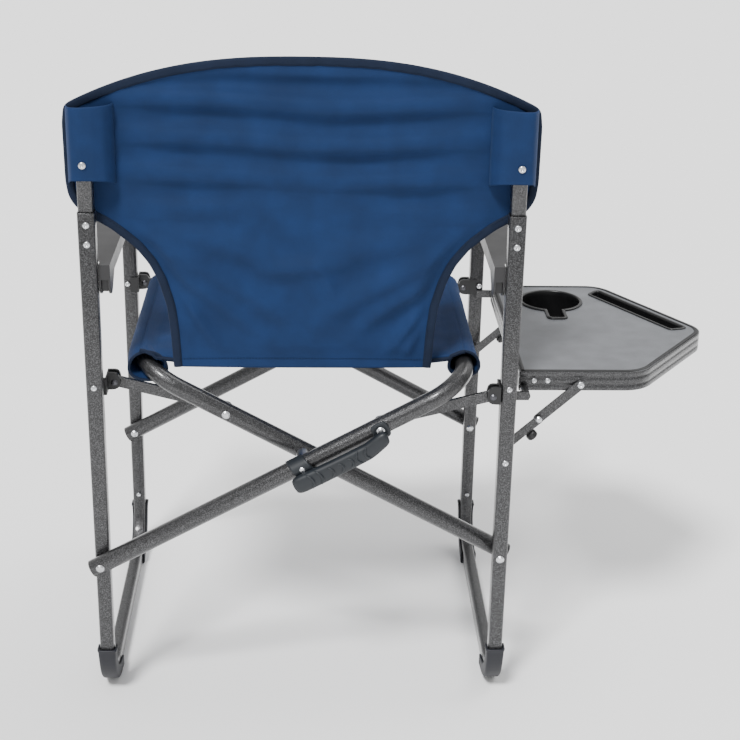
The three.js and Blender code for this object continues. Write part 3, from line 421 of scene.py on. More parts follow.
def grain_group():
    """Moulded grain: fine pits from noise, and slow patches that change the gloss."""
    group, into, out = new_group("Moulded grain", [
        ("Vector", "NodeSocketVector", None), ("Scale", "NodeSocketFloat", 1400.0),
    ], [("Height", "NodeSocketFloat"), ("Patches", "NodeSocketFloat")])
    pits = node(group, "ShaderNodeTexNoise", -300, 0)
    pits.inputs["Detail"].default_value = 3
    wire(group, into.outputs["Vector"], pits.inputs["Vector"])
    wire(group, into.outputs["Scale"], pits.inputs["Scale"])
    wire(group, pits.outputs["Fac"], out.inputs["Height"])
    slow = node(group, "ShaderNodeTexNoise", -300, -300)
    slow.inputs["Scale"].default_value = 35
    slow.inputs["Detail"].default_value = 4
    wire(group, into.outputs["Vector"], slow.inputs["Vector"])
    wire(group, slow.outputs["Fac"], out.inputs["Patches"])
    return group


def painted_edge_highlight_group():
    """Painted edge highlight: a mask that is high where the surface turns sharply outwards, used to
    paint sharp edges paler in place of light caught on them.
    """
    group, into, out = new_group("Painted edge highlight", [
        ("Low", "NodeSocketFloat", 0.53), ("High", "NodeSocketFloat", 0.62),
    ], [("Mask", "NodeSocketFloat")])
    shape = node(group, "ShaderNodeNewGeometry", -300)
    scale = node(group, "ShaderNodeMapRange", 0)
    wire(group, shape.outputs["Pointiness"], scale.inputs["Value"])
    wire(group, into.outputs["Low"], scale.inputs["From Min"])
    wire(group, into.outputs["High"], scale.inputs["From Max"])
    wire(group, scale.outputs["Result"], out.inputs["Mask"])
    return group


GROUPS = {}
MATERIALS = {}


def use_group(tree, name, vector, x=-600, y=0, **values):
    """Puts a shared node group into a material, and makes the group the first time."""
    builders = {"weave": weave_group, "hammered": hammered_group, "grain": grain_group,
                "painted_highlight": painted_edge_highlight_group}
    if name not in GROUPS:
        GROUPS[name] = builders[name]()
    made = node(tree, "ShaderNodeGroup", x, y, node_tree=GROUPS[name])
    if vector is not None:
        wire(tree, vector, made.inputs["Vector"])
    for key, value in values.items():
        made.inputs[key].default_value = value
    return made


def start_material(name, roughness, metallic=0.0):
    """A new material with its roughness and metalness, kept under its name."""
    material = bpy.data.materials.new(name)
    material.use_nodes = True
    tree = material.node_tree
    shader = tree.nodes["Principled BSDF"]
    shader.inputs["Roughness"].default_value = roughness
    shader.inputs["Metallic"].default_value = metallic
    MATERIALS[name] = material
    return material, tree, shader


def bump(tree, shader, height, strength, distance):
    """Turns a height into the shader's normal."""
    made = node(tree, "ShaderNodeBump", -200, -300)
    made.inputs["Strength"].default_value = strength
    made.inputs["Distance"].default_value = distance
    wire(tree, height, made.inputs["Height"])
    wire(tree, made.outputs["Normal"], shader.inputs["Normal"])


def shade(colour, factor):
    """The colour made darker or lighter, at most white."""
    return tuple(min(1.0, c * factor) for c in colour)


def cloth_material(name, colour, pitch, strength=0.5):
    """Woven cloth: mottled colour, thread relief and a faint sheen."""
    material, tree, shader = start_material(name, 0.78)
    place = node(tree, "ShaderNodeUVMap", -900, uv_map="ClothUV")
    weave = use_group(tree, "weave", place.outputs["UV"], Pitch=pitch)
    tint = ramp(tree, weave.outputs["Mottle"],
                [(0.32, shade(colour, 0.80)), (0.5, colour), (0.68, shade(colour, 1.28))],
                -350, 200)
    wire(tree, tint, shader.inputs["Base Color"])
    bump(tree, shader, weave.outputs["Height"], strength, 0.0003)
    shader.inputs["Sheen Weight"].default_value = 0.05
    shader.inputs["Sheen Roughness"].default_value = 0.45
    shader.inputs["Sheen Tint"].default_value = (0.30, 0.50, 1.0, 1)
    shader.inputs["Specular IOR Level"].default_value = 0.22
    return material


def paint_material(name, colour):
    """Hammered paint on steel: light specks on a dark ground under a clear coat."""
    material, tree, shader = start_material(name, 0.30, 0.60)
    place = node(tree, "ShaderNodeTexCoord", -900)
    pools = use_group(tree, "hammered", place.outputs["Object"], Scale=820.0)
    tint = ramp(tree, pools.outputs["Pools"], [
        (0.36, shade(colour, 0.35)), (0.58, colour), (0.76, shade(colour, 2.0)),
        (0.94, shade(colour, 4.4)),
    ], -350, 200)
    wire(tree, tint, shader.inputs["Base Color"])
    bump(tree, shader, pools.outputs["Height"], 0.55, 0.0006)
    shader.inputs["Coat Weight"].default_value = 0.55
    shader.inputs["Coat Roughness"].default_value = 0.14
    return material


def plastic_material(name, colour, roughness, scale=1400.0, strength=0.25, highlight_gain=1.4):
    """Moulded plastic: patchy colour and gloss, fine pits, and sharp edges painted paler as a
    painted highlight.
    """
    material, tree, shader = start_material(name, roughness)
    place = node(tree, "ShaderNodeTexCoord", -900)
    grain = use_group(tree, "grain", place.outputs["Object"], Scale=scale)
    painted_highlight = use_group(tree, "painted_highlight", None, -600, -300)
    tint = ramp(tree, grain.outputs["Patches"],
                [(0.3, shade(colour, 0.86)), (0.7, shade(colour, 1.14))], -350, 200)
    # Painted highlight: sharp edges get a paler colour that stands in for light caught on the
    # edges.
    mix = node(tree, "ShaderNodeMix", -50, 200, data_type="RGBA")
    mix.inputs["B"].default_value = (*shade(colour, highlight_gain), 1)
    wire(tree, painted_highlight.outputs["Mask"], mix.inputs["Factor"])
    wire(tree, tint, mix.inputs["A"])
    wire(tree, mix.outputs["Result"], shader.inputs["Base Color"])
    rough = node(tree, "ShaderNodeMapRange", -250, -100)
    rough.inputs["To Min"].default_value = roughness - 0.06
    rough.inputs["To Max"].default_value = roughness + 0.08
    wire(tree, grain.outputs["Patches"], rough.inputs["Value"])
    wire(tree, rough.outputs["Result"], shader.inputs["Roughness"])
    bump(tree, shader, grain.outputs["Height"], strength, 0.0002)
    return material


def steel_material(name, colour, roughness):
    """Bare plated steel with a fine grain."""
    material, tree, shader = start_material(name, roughness, 1.0)
    place = node(tree, "ShaderNodeTexCoord", -900)
    grain = use_group(tree, "grain", place.outputs["Object"], Scale=2200.0)
    tint = ramp(tree, grain.outputs["Patches"],
                [(0.3, shade(colour, 0.8)), (0.7, shade(colour, 1.15))], -350, 200)
    wire(tree, tint, shader.inputs["Base Color"])
    bump(tree, shader, grain.outputs["Height"], 0.15, 0.0001)
    return material


# ---------------------------------------------------------------- operators: materials

class ChairOperator(bpy.types.Operator):
    """Shared ways of the chair's operators."""

    @staticmethod
    def sizes():
        """The sizes set in the sidebar."""
        return bpy.context.scene.camp_chair_sizes

    @staticmethod
    def colours():
        """The colours set in the sidebar."""
        return bpy.context.scene.camp_chair_colours


class CHAIR_OT_materials(ChairOperator):
    """Make every finish of the chair"""

    bl_idname = "camp_chair.materials"
    bl_label = "Finishes"

    def execute(self, context):
        colours, pitch = self.colours(), self.sizes().weave_pitch
        cloth_material("blue cloth", tuple(colours.cloth), pitch)
        cloth_material("navy binding", tuple(colours.binding), pitch * 1.6, 0.8)
        cloth_material("navy thread", shade(tuple(colours.binding), 0.8), pitch, 0.2)
        cloth_material("blue thread", shade(tuple(colours.cloth), 0.45), pitch, 0.2)
        paint_material("hammered paint", tuple(colours.paint))
        plastic_material("arm plastic", (0.0130, 0.0127, 0.0140), 0.38)
        plastic_material("black plastic", (0.0045, 0.0045, 0.0052), 0.42)
        plastic_material("tray plastic", (0.0050, 0.0050, 0.0056), 0.32)
        plastic_material("grip plastic", (0.0062, 0.0090, 0.0125), 0.48, 900.0, 0.4)
        plastic_material("foot rubber", (0.0055, 0.0062, 0.0105), 0.55, 700.0, 0.5)
        plastic_material("board laminate", tuple(colours.board), 0.40, 2600.0, 0.35, 1.05)
        steel_material("zinc steel", (0.62, 0.63, 0.65), 0.28)
        steel_material("dark steel", (0.10, 0.10, 0.11), 0.40)
        return {"FINISHED"}


# ---------------------------------------------------------------- operators: kept nodes

KEPT = {
    "hammered paint": ["link_rear_left", "link_rear_right", "link_front_left",
                       "link_front_right", "strut_lower_rear", "strut_lower_front",
                       "strut_upper_rear", "strut_upper_front", "table_hinge_rear",
                       "table_hinge_front"],
    "arm plastic": ["armrest_left", "armrest_right"],
    "black plastic": ["armrest_clip_left", "armrest_clip_right", "link_bracket_rear_left",
                      "link_bracket_rear_right", "link_bracket_front_left",
                      "link_bracket_front_right",
                      "lock_knob_rear", "lock_knob_front"],
    "board laminate": ["table_top"],
    "zinc steel": ["cross_pin_rear", "cross_pin_front", "low_pin_rear_left",
                   "low_pin_rear_right", "low_pin_front_left", "low_pin_front_right",
                   "tube_pin_rear_left", "tube_pin_rear_right", "tube_pin_front_left",
                   "tube_pin_front_right", "elbow_pin_rear", "elbow_pin_front"],
    "dark steel": ["link_pin_rear_left", "link_pin_rear_right", "link_pin_front_left",
                   "link_pin_front_right"],
}
EDGE = {"arm plastic": 0.0024, "black plastic": 0.0008, "hammered paint": 0.0006,
        "zinc steel": 0.0003, "dark steel": 0.0003, "board laminate": 0.0005}


class CHAIR_OT_kept_nodes(ChairOperator):
    """Finish the solids that keep their own shape, and round their edges"""

    bl_idname = "camp_chair.kept_nodes"
    bl_label = "Kept solids"

    def execute(self, context):
        for finish, names in KEPT.items():
            for name in names:
                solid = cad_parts[name]
                solid.data.materials.clear()
                solid.data.materials.append(MATERIALS[finish])
                weld = solid.modifiers.new("Weld", "WELD")
                weld.merge_threshold = 1e-5
                edge = solid.modifiers.new("Rounded edges", "BEVEL")
                edge.width = EDGE[finish]
                edge.segments = 2
                edge.limit_method = "ANGLE"
                edge.angle_limit = math.radians(38)
                edge.harden_normals = True
        return {"FINISHED"}


# ---------------------------------------------------------------- operators: tubes

class CHAIR_OT_side_frames(ChairOperator):
    """Sweep the square tube of each side frame and its back post"""

    bl_idname = "camp_chair.side_frames"
    bl_label = "Side frames"

    def execute(self, context):
        paint = MATERIALS["hammered paint"]
        for name, side in SIDES:
            x = side * HALF
            corners = [(x, 0, LEG_TOP), (x, 0, RUNNER_Z), (x, DEPTH, RUNNER_Z),
                       (x, DEPTH, FRONT_TOP)]
            path = bent_path(corners, self.sizes().foot_bend, 18)
            points, tangents, scales = open_ends(*path, wall=0.87)
            grid = swept(points, tangents, square_section(LEG_W, LEG_CORNER), (1, 0, 0), scales,
                         self.pinch(points))
            Surface().add(lidded(grid), wrap_columns=True).piece(
                f"leg_tube_{name}", paint, f"{name}_frame",
                replaces=[f"side_frame_{name}"], slot="hammered_steel")
            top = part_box(f"back_post_{name}")[1].z
            line = np.array([(x, 0, 0.660), (x, 0, top - 0.0015), (x, 0, top)])
            line[1:, 2] -= 0.011
            up = np.tile([0.0, 0.0, 1.0], (3, 1))
            post = swept(line, up, square_section(POST_WIDTH, POST_CORNER), (1, 0, 0),
                         np.array([1, 1, 0.9]))
            Surface().add(lidded(post), wrap_columns=True).piece(
                f"back_post_tube_{name}", paint, f"{name}_frame",
                replaces=[f"back_post_{name}"], slot="hammered_steel")
            for end in ENDS:
                self.shoe(name, x, end)
        return {"FINISHED"}

    @staticmethod
    def pinch(points):
        """Width of the tube along x: it is pressed narrower round each foot bend."""
        near_end = np.minimum(points[:, 1], DEPTH - points[:, 1])
        reach = np.clip(1 - np.maximum(points[:, 2] - 0.055, near_end - 0.05) / 0.06, 0, 1)
        return 1 - 0.20 * reach ** 2 * (3 - 2 * reach)

    def shoe(self, name, x, end):
        """A rubber shoe: an outer and an inner U carried round the foot bend."""
        corners = [(0, 0, 0.0790), (0, 0, RUNNER_Z), (0, 0.0705, RUNNER_Z)]
        points, tangents = bent_path(corners, self.sizes().foot_bend, 16, spacing=0.003)
        t = np.linspace(0, 1, len(points))
        size = 1 + 0.05 * np.exp(-(t / 0.035) ** 4)
        shells = []
        for wall in (0.0037, 0.0003):
            half = LEG_W / 2 + wall
            rise = 0.004 if wall > 0.001 else 0.0042
            profile = np.array([(rise, -half, 0), (-half, -half, 0), (-half, half, 0),
                                (rise, half, 0)])
            section = bent_path(profile, 0.0045, 5, spacing=0.004)[0][:, :2]
            shells.append(swept(points, tangents, section, (1, 0, 0), size,
                                self.pinch(points)))
        count = min(shells[0].shape[1], shells[1].shape[1])
        even = [shell[:, np.linspace(0, shell.shape[1] - 1, count).round().astype(int)]
                for shell in shells]
        turn = np.array([1.0, 1.0, 1.0]) if end == "rear" else np.array([1.0, -1.0, 1.0])
        shift = np.array([x, 0.0 if end == "rear" else DEPTH, 0.0])
        made = Surface()
        for shell in even:
            made.add(shell * turn + shift)
        made.add(np.stack([rim_of(shell) for shell in even]) * turn + shift, wrap_columns=True)
        made.piece(f"foot_shoe_{end}_{name}", MATERIALS["foot rubber"], f"{name}_frame",
                   replaces=[f"foot_pad_{end}_{name}"], slot="foot_rubber")


class CHAIR_OT_scissor_tubes(ChairOperator):
    """Sweep the two crossed round tubes, each with its seat rail"""

    bl_idname = "camp_chair.scissor_tubes"
    bl_label = "Scissor tubes"

    def execute(self, context):
        for name, side, y in (("a", 1, -TUBE_Y), ("b", -1, TUBE_Y)):
            low = np.array([-side * (HALF + TUBE_TAIL * math.cos(SLOPE)), y,
                            LOW_PIN_Z - TUBE_TAIL * math.sin(SLOPE)])
            rail = np.array([side * RAIL_X, y, RAIL_Z])
            step = np.array([0, DEPTH, 0])
            corners = [low, rail, rail + step, low + step]
            path = bent_path(corners, self.sizes().tube_bend, 20)
            points, tangents, scales = open_ends(*path, wall=0.88)
            plane = np.array([-side * math.sin(SLOPE), 0, math.cos(SLOPE)])
            grid = swept(points, tangents, round_section(TUBE_R, 36), plane, scales)
            Surface().add(lidded(grid), wrap_columns=True).piece(
                f"seat_tube_{name}", MATERIALS["hammered paint"], f"scissor_{name}",
                replaces=[f"scissor_tube_{name}"], slot="hammered_steel")
        return {"FINISHED"}


# ---------------------------------------------------------------- operators: rivets

def rivet_grid(centre, axis, radius, rise, sides=20):
    """A hollow rivet's head: a dome with a small round well in its middle, about an axis."""
    axis = unit(np.asarray(axis, float))
    side = unit(np.cross(axis, [0.3, 0.5, 0.81]))
    other = np.cross(axis, side)
    share = np.array([0, 1.0, 1.0, 0.93, 0.72, 0.46, 0.36, 0.32, 0.0])
    level = np.array([-0.3, -0.3, 0.12, 0.55, 0.88, 1.0, 0.96, 0.45, 0.40])
    angle = np.arange(sides) * 2 * math.pi / sides
    ring = np.cos(angle)[:, None] * side + np.sin(angle)[:, None] * other
    return (np.asarray(centre, float) + share[:, None, None] * radius * ring[None]
            + level[:, None, None] * rise * axis)


# Rivet heads: radius and rise, then the heights at which they sit.
POST_RIVET = (0.0046, 0.0020)
SLEEVE_RIVET = (0.0050, 0.0022)
LINK_RIVET = (0.0042, 0.0018)
PAD_SCREW = (0.0036, 0.0016)
STRUT_RIVET = (0.0044, 0.0019)
HINGE_RIVET = (0.0040, 0.0018)
RIM_RIVET = (0.0052, 0.0026)
POST_RIVET_Z = (0.712, 0.686)
ARM_RIVET_Z = (0.62, 0.59)
SLEEVE_RIVET_Z, LINK_RIVET_Z, FRONT_LINK_RIVET_Z = 0.793, 0.485, 0.479
STRUT_RIVET_Z, PAD_SCREW_Z = 0.375, 0.101
SLEEVE_REAR_Y = -0.0192


class CHAIR_OT_rivets(ChairOperator):
    """Set the small rivets and screws that hold posts, brackets, pads and table"""

    bl_idname = "camp_chair.rivets"
    bl_label = "Rivets"

    def execute(self, context):
        rear, inward = (0, -1, 0), (0, 1, 0)
        face = LEG_W / 2
        for name, side in SIDES:
            x = side * HALF
            heads = [((x, -face, z), rear, *POST_RIVET) for z in POST_RIVET_Z]
            heads.append(((x, SLEEVE_REAR_Y, SLEEVE_RIVET_Z), rear, *SLEEVE_RIVET))
            heads.append(((x, -face, LINK_RIVET_Z), rear, *LINK_RIVET))
            heads.append(((x + side * 0.004, DEPTH - 0.0158, FRONT_LINK_RIVET_Z), rear,
                          *LINK_RIVET))
            heads.append(((x, DEPTH + face, FRONT_LINK_RIVET_Z), inward, *LINK_RIVET))
            heads.append(((x, DEPTH - face - 0.0012, PAD_SCREW_Z), rear, *PAD_SCREW))
            heads += [((x, DEPTH + face, z), inward, *POST_RIVET) for z in ARM_RIVET_Z]
            if side > 0:
                heads += [((x, -face, STRUT_RIVET_Z), rear, *STRUT_RIVET),
                          ((x, DEPTH + face, STRUT_RIVET_Z), inward, *STRUT_RIVET)]
            made = Surface()
            for head in heads:
                made.add(rivet_grid(*head), wrap_columns=True)
            made.piece(f"leg_rivets_{name}", MATERIALS["zinc steel"], f"{name}_frame",
                       slot="zinc_steel")
        table = Surface()
        for y, way in ((TABLE_REAR, rear), (TABLE_FRONT, inward)):
            for x, z in ((0.321, 0.477), (0.340, 0.477)):
                table.add(rivet_grid((x, y, z), way, *HINGE_RIVET), wrap_columns=True)
            outer = y + way[1] * 0.0036
            table.add(rivet_grid((0.386, outer, 0.472), way, *RIM_RIVET), wrap_columns=True)
        table.piece("table_rivets", MATERIALS["zinc steel"], "table", slot="zinc_steel")
        return {"FINISHED"}


# ---------------------------------------------------------------- operators: cloth

BACK_HEM_Z, BACK_CORNER_Z = 0.5070, 0.866
BACK_MIDDLE_Z = (0.5060, 0.9265)        # its middle line, from the hem to the top edge
BACK_REAR_Y, BACK_FRONT_Y = 0.0140, 0.0150
BACK_HEIGHT = 0.43


def back_outline(t):
    """Half width and height of the back's side edge, from its hem at t = 0 to its corner."""
    stops = np.array([0, .15, .24, .32, .38, .44, .50, .545, .575, .60, .65, .85, .97, 1])
    width = np.array([.173, .176, .180, .190, .202, .221, .252, .280, .296, .3035, .306,
                      .3065, .304, .298])
    height = np.array([BACK_HEM_Z, .559, .594, .629, .654, .678, .703, .7185, .732, .746, .766,
                       .840, .861, BACK_CORNER_Z])
    return np.interp(t, stops, width), np.interp(t, stops, height)


def smooth_rows(values, times=2):
    """Each value averaged with its neighbours, ends kept."""
    for _ in range(times):
        inner = (values[:-2] + 2 * values[1:-1] + values[2:]) / 4
        values = np.concatenate([values[:1], inner, values[-1:]])
    return values


def back_sheet(rows=150, columns=190):
    """Positions x and z of the back cloth's grid.

    Row t runs from side edge to side edge. x = s * width(t). z is the side edge's height plus
    (1 - |s| ** 2.5) times how far the middle line stands above it.
    """
    t = np.linspace(0, 1, rows)
    s = np.linspace(-1, 1, columns)
    width, side = (smooth_rows(v) for v in back_outline(t))
    middle = np.interp(t, [0, 1], BACK_MIDDLE_Z)
    rise = 1 - np.abs(s) ** 2.5
    x = width[:, None] * s[None]
    z = side[:, None] + (middle - side)[:, None] * rise[None]
    return t[:, None], s[None], x, z


def back_wrinkles(x, z, depth):
    """How far the rear face stands out, from long pulls across and pulls that fan downwards.

    Upper pulls are sines of the height, bent a little and faded towards the posts. Lower ones
    are ridges: a Gaussian of the distance to a line from each shoulder to the lower middle.
    """
    fade = np.clip((0.252 - np.abs(x)) / 0.09, 0, 1) ** 0.8
    band = z + 0.010 * np.sin(7 * x + 1.0) + 0.006 * np.sin(17 * x + 2.4) * (x / 0.25)
    high = 1 / (1 + np.exp(-(z - 0.715 - 0.05 * np.cos(9 * x)) / 0.016))
    wave = np.sin(2 * math.pi * (band - 0.862) / 0.049)
    sharp = np.sign(wave) * np.abs(wave) ** 0.75
    upper = depth * high * fade * sharp * (0.75 + 0.35 * smooth_noise(x, z, 3, low=2, high=7))
    fine = 0.28 * depth * high * fade * smooth_noise(x * 0.35, z, 11, 9, 18, 42)
    lines = (  # start x and z, end x and z, width and height of each pull
        (-0.235, 0.700, -0.020, 0.585, 0.016, 1.0), (-0.215, 0.672, -0.060, 0.565, 0.012, 0.8),
        (-0.245, 0.722, 0.020, 0.640, 0.018, 0.9), (-0.196, 0.640, -0.110, 0.540, 0.009, 0.6),
        (0.240, 0.704, 0.030, 0.580, 0.017, 1.0), (0.222, 0.676, 0.075, 0.560, 0.012, 0.9),
        (0.250, 0.725, -0.010, 0.650, 0.020, 0.8), (0.192, 0.636, 0.120, 0.530, 0.010, 0.9),
        (0.180, 0.600, 0.140, 0.520, 0.008, 0.8), (-0.178, 0.590, -0.150, 0.520, 0.008, 0.4),
        (-0.060, 0.640, 0.060, 0.662, 0.012, 0.5), (0.010, 0.660, 0.050, 0.610, 0.008, 0.4),
    )
    lower = np.zeros_like(x)
    for x0, z0, x1, z1, size, height in lines:
        run = np.array([x1 - x0, z1 - z0])
        length = np.hypot(*run)
        along = ((x - x0) * run[0] + (z - z0) * run[1]) / length ** 2
        away = ((x - x0) * run[1] - (z - z0) * run[0]) / length
        away = away + 0.004 * np.sin(5 * along + 3 * x0)
        ends = np.clip(along + 0.1, 0, 1) * np.clip(1.15 - along, 0, 1) * 2.6
        lower += height * np.exp(-(away / size) ** 2) * np.clip(ends, 0, 1)
    low = 1 - 0.7 * high
    lower = 1.15 * depth * low * lower + 0.35 * depth * low * smooth_noise(
        x, z, 5, low=4, high=13)
    return upper + fine + lower


class CHAIR_OT_back(ChairOperator):
    """Make the padded back cloth with its pulls, edge tape and stitches"""

    bl_idname = "camp_chair.back"
    bl_label = "Back"

    def execute(self, context):
        depth = self.sizes().wrinkle_depth
        t, s, x, z = back_sheet()
        from_side = (1 - np.abs(s)) * x.max(1, keepdims=True)
        near_edge = np.minimum(from_side, BACK_HEIGHT * np.minimum(t, 1 - t))
        plump = 1 - np.exp(-near_edge / 0.016)
        inside = np.clip((near_edge - 0.009) / 0.028, 0, 1)
        inside = inside ** 2 * (3 - 2 * inside)
        bow = 0.010 * (1 - (x / 0.30) ** 2) * np.sin(np.pi * np.clip((z - 0.5) / BACK_HEIGHT, 0, 1))
        relief = back_wrinkles(x, z, depth) * inside
        rear = BACK_REAR_Y - relief - bow * inside * np.clip((0.25 - np.abs(x)) / 0.1, 0, 1)
        soft = smooth_noise(x, z, 8, low=2, high=8)
        filling = 0.0022 + plump * (0.0065 + 0.0008 * soft)
        front = np.maximum(rear, BACK_FRONT_Y - bow * 0.8) + filling
        uv = np.stack([x, z], -1)
        made = Surface()
        made.add(np.stack([x, rear, z], -1), uv=uv)
        made.add(np.stack([x, front, z], -1), uv=uv)
        border = [rim_of(np.stack([x, y, z], -1)) for y in (rear, front)]
        made.add(np.stack(border), wrap_columns=True)
        cloth = made.piece("back_cloth", MATERIALS["blue cloth"],
                           replaces=["back_panel_left", "back_panel_right"],
                           slot="blue_fabric")
        self.bend(cloth)
        corner = x.shape[1] - 1
        self.tape([np.concatenate([ring[corner:], ring[:1]]) for ring in border])
        hem = np.stack([x[5, 4:-4], rear[5, 4:-4] - 0.0004, z[5, 4:-4]], 1)
        thread = Surface()
        stitch_row(thread, hem, np.gradient(hem, axis=0),
                   np.tile([0.0, -0.0003, 0.0], (len(hem), 1)), self.sizes().stitch_pitch)
        self.bend(thread.piece("back_hem_stitches", MATERIALS["blue thread"],
                               slot="blue_fabric"))
        return {"FINISHED"}

    @staticmethod
    def bend(piece):
        """Bakes the placement of a piece of the back into its mesh."""
        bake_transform(piece)

    def tape(self, border):
        """Edge tape: a flat oval carried up one side, over the top and down the other side.

        A row of stitches follows it on both faces.
        """
        rear, front = border
        middle = (rear + front) / 2
        gap = np.linalg.norm(np.diff(middle, axis=0), axis=1)
        at = np.concatenate([[0], np.cumsum(gap)])
        even = np.linspace(0, at[-1], 640)
        line = np.stack([np.interp(even, at, middle[:, k]) for k in range(3)], 1)
        line = smooth_rows(line, 4)
        tangent = unit(np.gradient(line, axis=0))
        face = np.tile([0.0, -1.0, 0.0], (len(line), 1))
        inner = unit(np.cross(face, tangent))
        inner *= np.sign(np.sum(inner * (line.mean(0) - line), axis=1).mean())
        width = self.sizes().binding_width
        angle = np.arange(18) * 2 * math.pi / 18
        flat = np.abs(np.cos(angle)) ** 0.7 * np.sign(np.cos(angle))
        thick = np.abs(np.sin(angle)) ** 0.8 * np.sign(np.sin(angle))
        ripple = 1 + 0.12 * np.sin(even * 240)[:, None] + 0.10 * np.sin(even * 97)[:, None]
        grid = (line[:, None] + inner[:, None] * (width * 0.42 + width * 0.56 * flat)[:, None]
                + face[:, None] * (0.0036 * thick * ripple)[..., None])
        around = np.concatenate([[0], np.cumsum(np.full(17, width / 8))])
        uv = np.stack(np.broadcast_arrays(even[:, None], around[None]), -1)
        uv = np.concatenate([uv[:1], uv, uv[-1:]])
        tape = Surface().add(lidded(grid), wrap_columns=True, uv=uv).piece(
            "back_binding", MATERIALS["navy binding"], slot="blue_fabric")
        self.bend(tape)
        thread = Surface()
        for way in (1, -1):
            stitch_row(thread, line + inner * width * 0.78, tangent, face * 0.0035 * way,
                       self.sizes().stitch_pitch)
        self.bend(thread.piece("back_stitches", MATERIALS["navy thread"], slot="blue_fabric"))


def stitch_row(surface, line, tangent, lift, pitch):
    """Small ovals of thread laid along a line, one for each pitch, raised by the lift."""
    gap = np.linalg.norm(np.diff(line, axis=0), axis=1)
    at = np.concatenate([[0], np.cumsum(gap)])
    spots = np.arange(pitch / 2, at[-1], pitch)

    def pick(values):
        return np.stack([np.interp(spots, at, values[:, k]) for k in range(3)], 1)

    centre, way, up = pick(line + lift), unit(pick(tangent)), unit(pick(lift))
    side = np.cross(way, up)
    angle = np.arange(5) * 2 * math.pi / 5
    along = np.array([-0.5, -0.42, 0.0, 0.42, 0.5]) * pitch * 0.72
    girth = np.array([0.0, 0.55, 1.0, 0.55, 0.0]) * 0.00042
    ring = (np.cos(angle)[None, :, None] * side[:, None]
            + np.sin(angle)[None, :, None] * up[:, None])
    grids = (centre[:, None, None] + along[None, :, None, None] * way[:, None, None]
             + girth[None, :, None, None] * ring[:, None])
    rows, columns = len(along), len(angle)
    quads = grid_quads(rows, columns, wrap_columns=True)
    shift = (np.arange(len(spots)) * rows * columns)[:, None, None]
    surface.faces.append((quads[None] + shift).reshape(-1, 4) + surface.count)
    surface.points.append(grids.reshape(-1, 3))
    surface.uv.append(grids.reshape(-1, 3)[:, (0, 2)])
    surface.count += grids.size // 3


class CHAIR_OT_post_sleeves(ChairOperator):
    """Wrap the cloth sleeves behind the back posts"""

    bl_idname = "camp_chair.post_sleeves"
    bl_label = "Post sleeves"

    def execute(self, context):
        for name, side in SIDES:
            body = f"back_{name}"
            rows = 46
            level = np.linspace(0, 1, rows)[:, None]
            stops = np.array([[0.0, -0.0365, 0.0140], [0.10, -0.0350, 0.0020],
                              [0.22, -0.0270, -0.0105], [0.36, -0.0140, -0.0160],
                              [0.55, 0.0020, -0.0172], [0.72, 0.0130, -0.0155],
                              [0.84, 0.0178, -0.0060], [0.93, 0.0200, 0.0050],
                              [1.0, 0.0212, 0.0150]])
            along = np.linspace(0, 1, 60)
            off = smooth_rows(np.interp(along, stops[:, 0], stops[:, 1]), 6)
            back = smooth_rows(np.interp(along, stops[:, 0], stops[:, 2]), 6)
            tangent = unit(np.stack([np.gradient(off), np.gradient(back)], 1))
            normal = np.stack([tangent[:, 1], -tangent[:, 0]], 1)
            low = 0.7725 - 0.36 * (back + 0.0165)
            top = 0.8665 - 0.10 * (back + 0.0165) + 0.003 * np.clip(1 - along * 2, 0, 1)
            z = low[None] + level * (top - low)[None]
            pull = 0.0009 * smooth_noise(z * 1.2, along[None] * 0.06 + side, 21, 8, 14, 40)
            mouth = 0.0014 * np.exp(-(1 - level) / 0.05) - 0.0006 * np.exp(-level / 0.04)
            made = Surface()
            shells = []
            for wall in (0.0, -0.0018):
                out = wall + (pull + mouth) * np.sin(np.pi * along)[None]
                x = side * (HALF + off[None] + normal[None, :, 0] * -out)
                y = back[None] + normal[None, :, 1] * -out
                shells.append(np.stack(np.broadcast_arrays(x, y, z), -1))
            uv = np.stack(np.broadcast_arrays(along[None] * 0.09, z), -1)
            for shell in shells:
                made.add(shell, uv=uv)
            made.add(np.stack([rim_of(shell) for shell in shells]), wrap_columns=True)
            sleeve = made.piece(f"post_sleeve_{name}", MATERIALS["blue cloth"], body,
                                slot="blue_fabric")
            self.seams(name, body, shells[0])
        return {"FINISHED"}

    def seams(self, name, body, shell):
        """Two rows of stitches beside the sleeve's inner edge, and one above its lower hem."""
        thread = Surface()
        rear = np.array([0.0, -1.0, 0.0])
        lift = np.tile(rear * 0.0009, (shell.shape[0], 1))
        for column in (12, 19):
            line = shell[:, column]
            stitch_row(thread, line, np.gradient(line, axis=0), lift,
                       self.sizes().stitch_pitch)
        hem = shell[4, 8:50]
        stitch_row(thread, hem, np.gradient(hem, axis=0),
                   np.tile(rear * 0.0006, (len(hem), 1)), self.sizes().stitch_pitch)
        thread.piece(f"sleeve_stitches_{name}", MATERIALS["blue thread"], body,
                     slot="blue_fabric")


SEAT_REAR_Y, SEAT_DEPTH = 0.0375, 0.3385
SEAT_TOP_Z = 0.5160


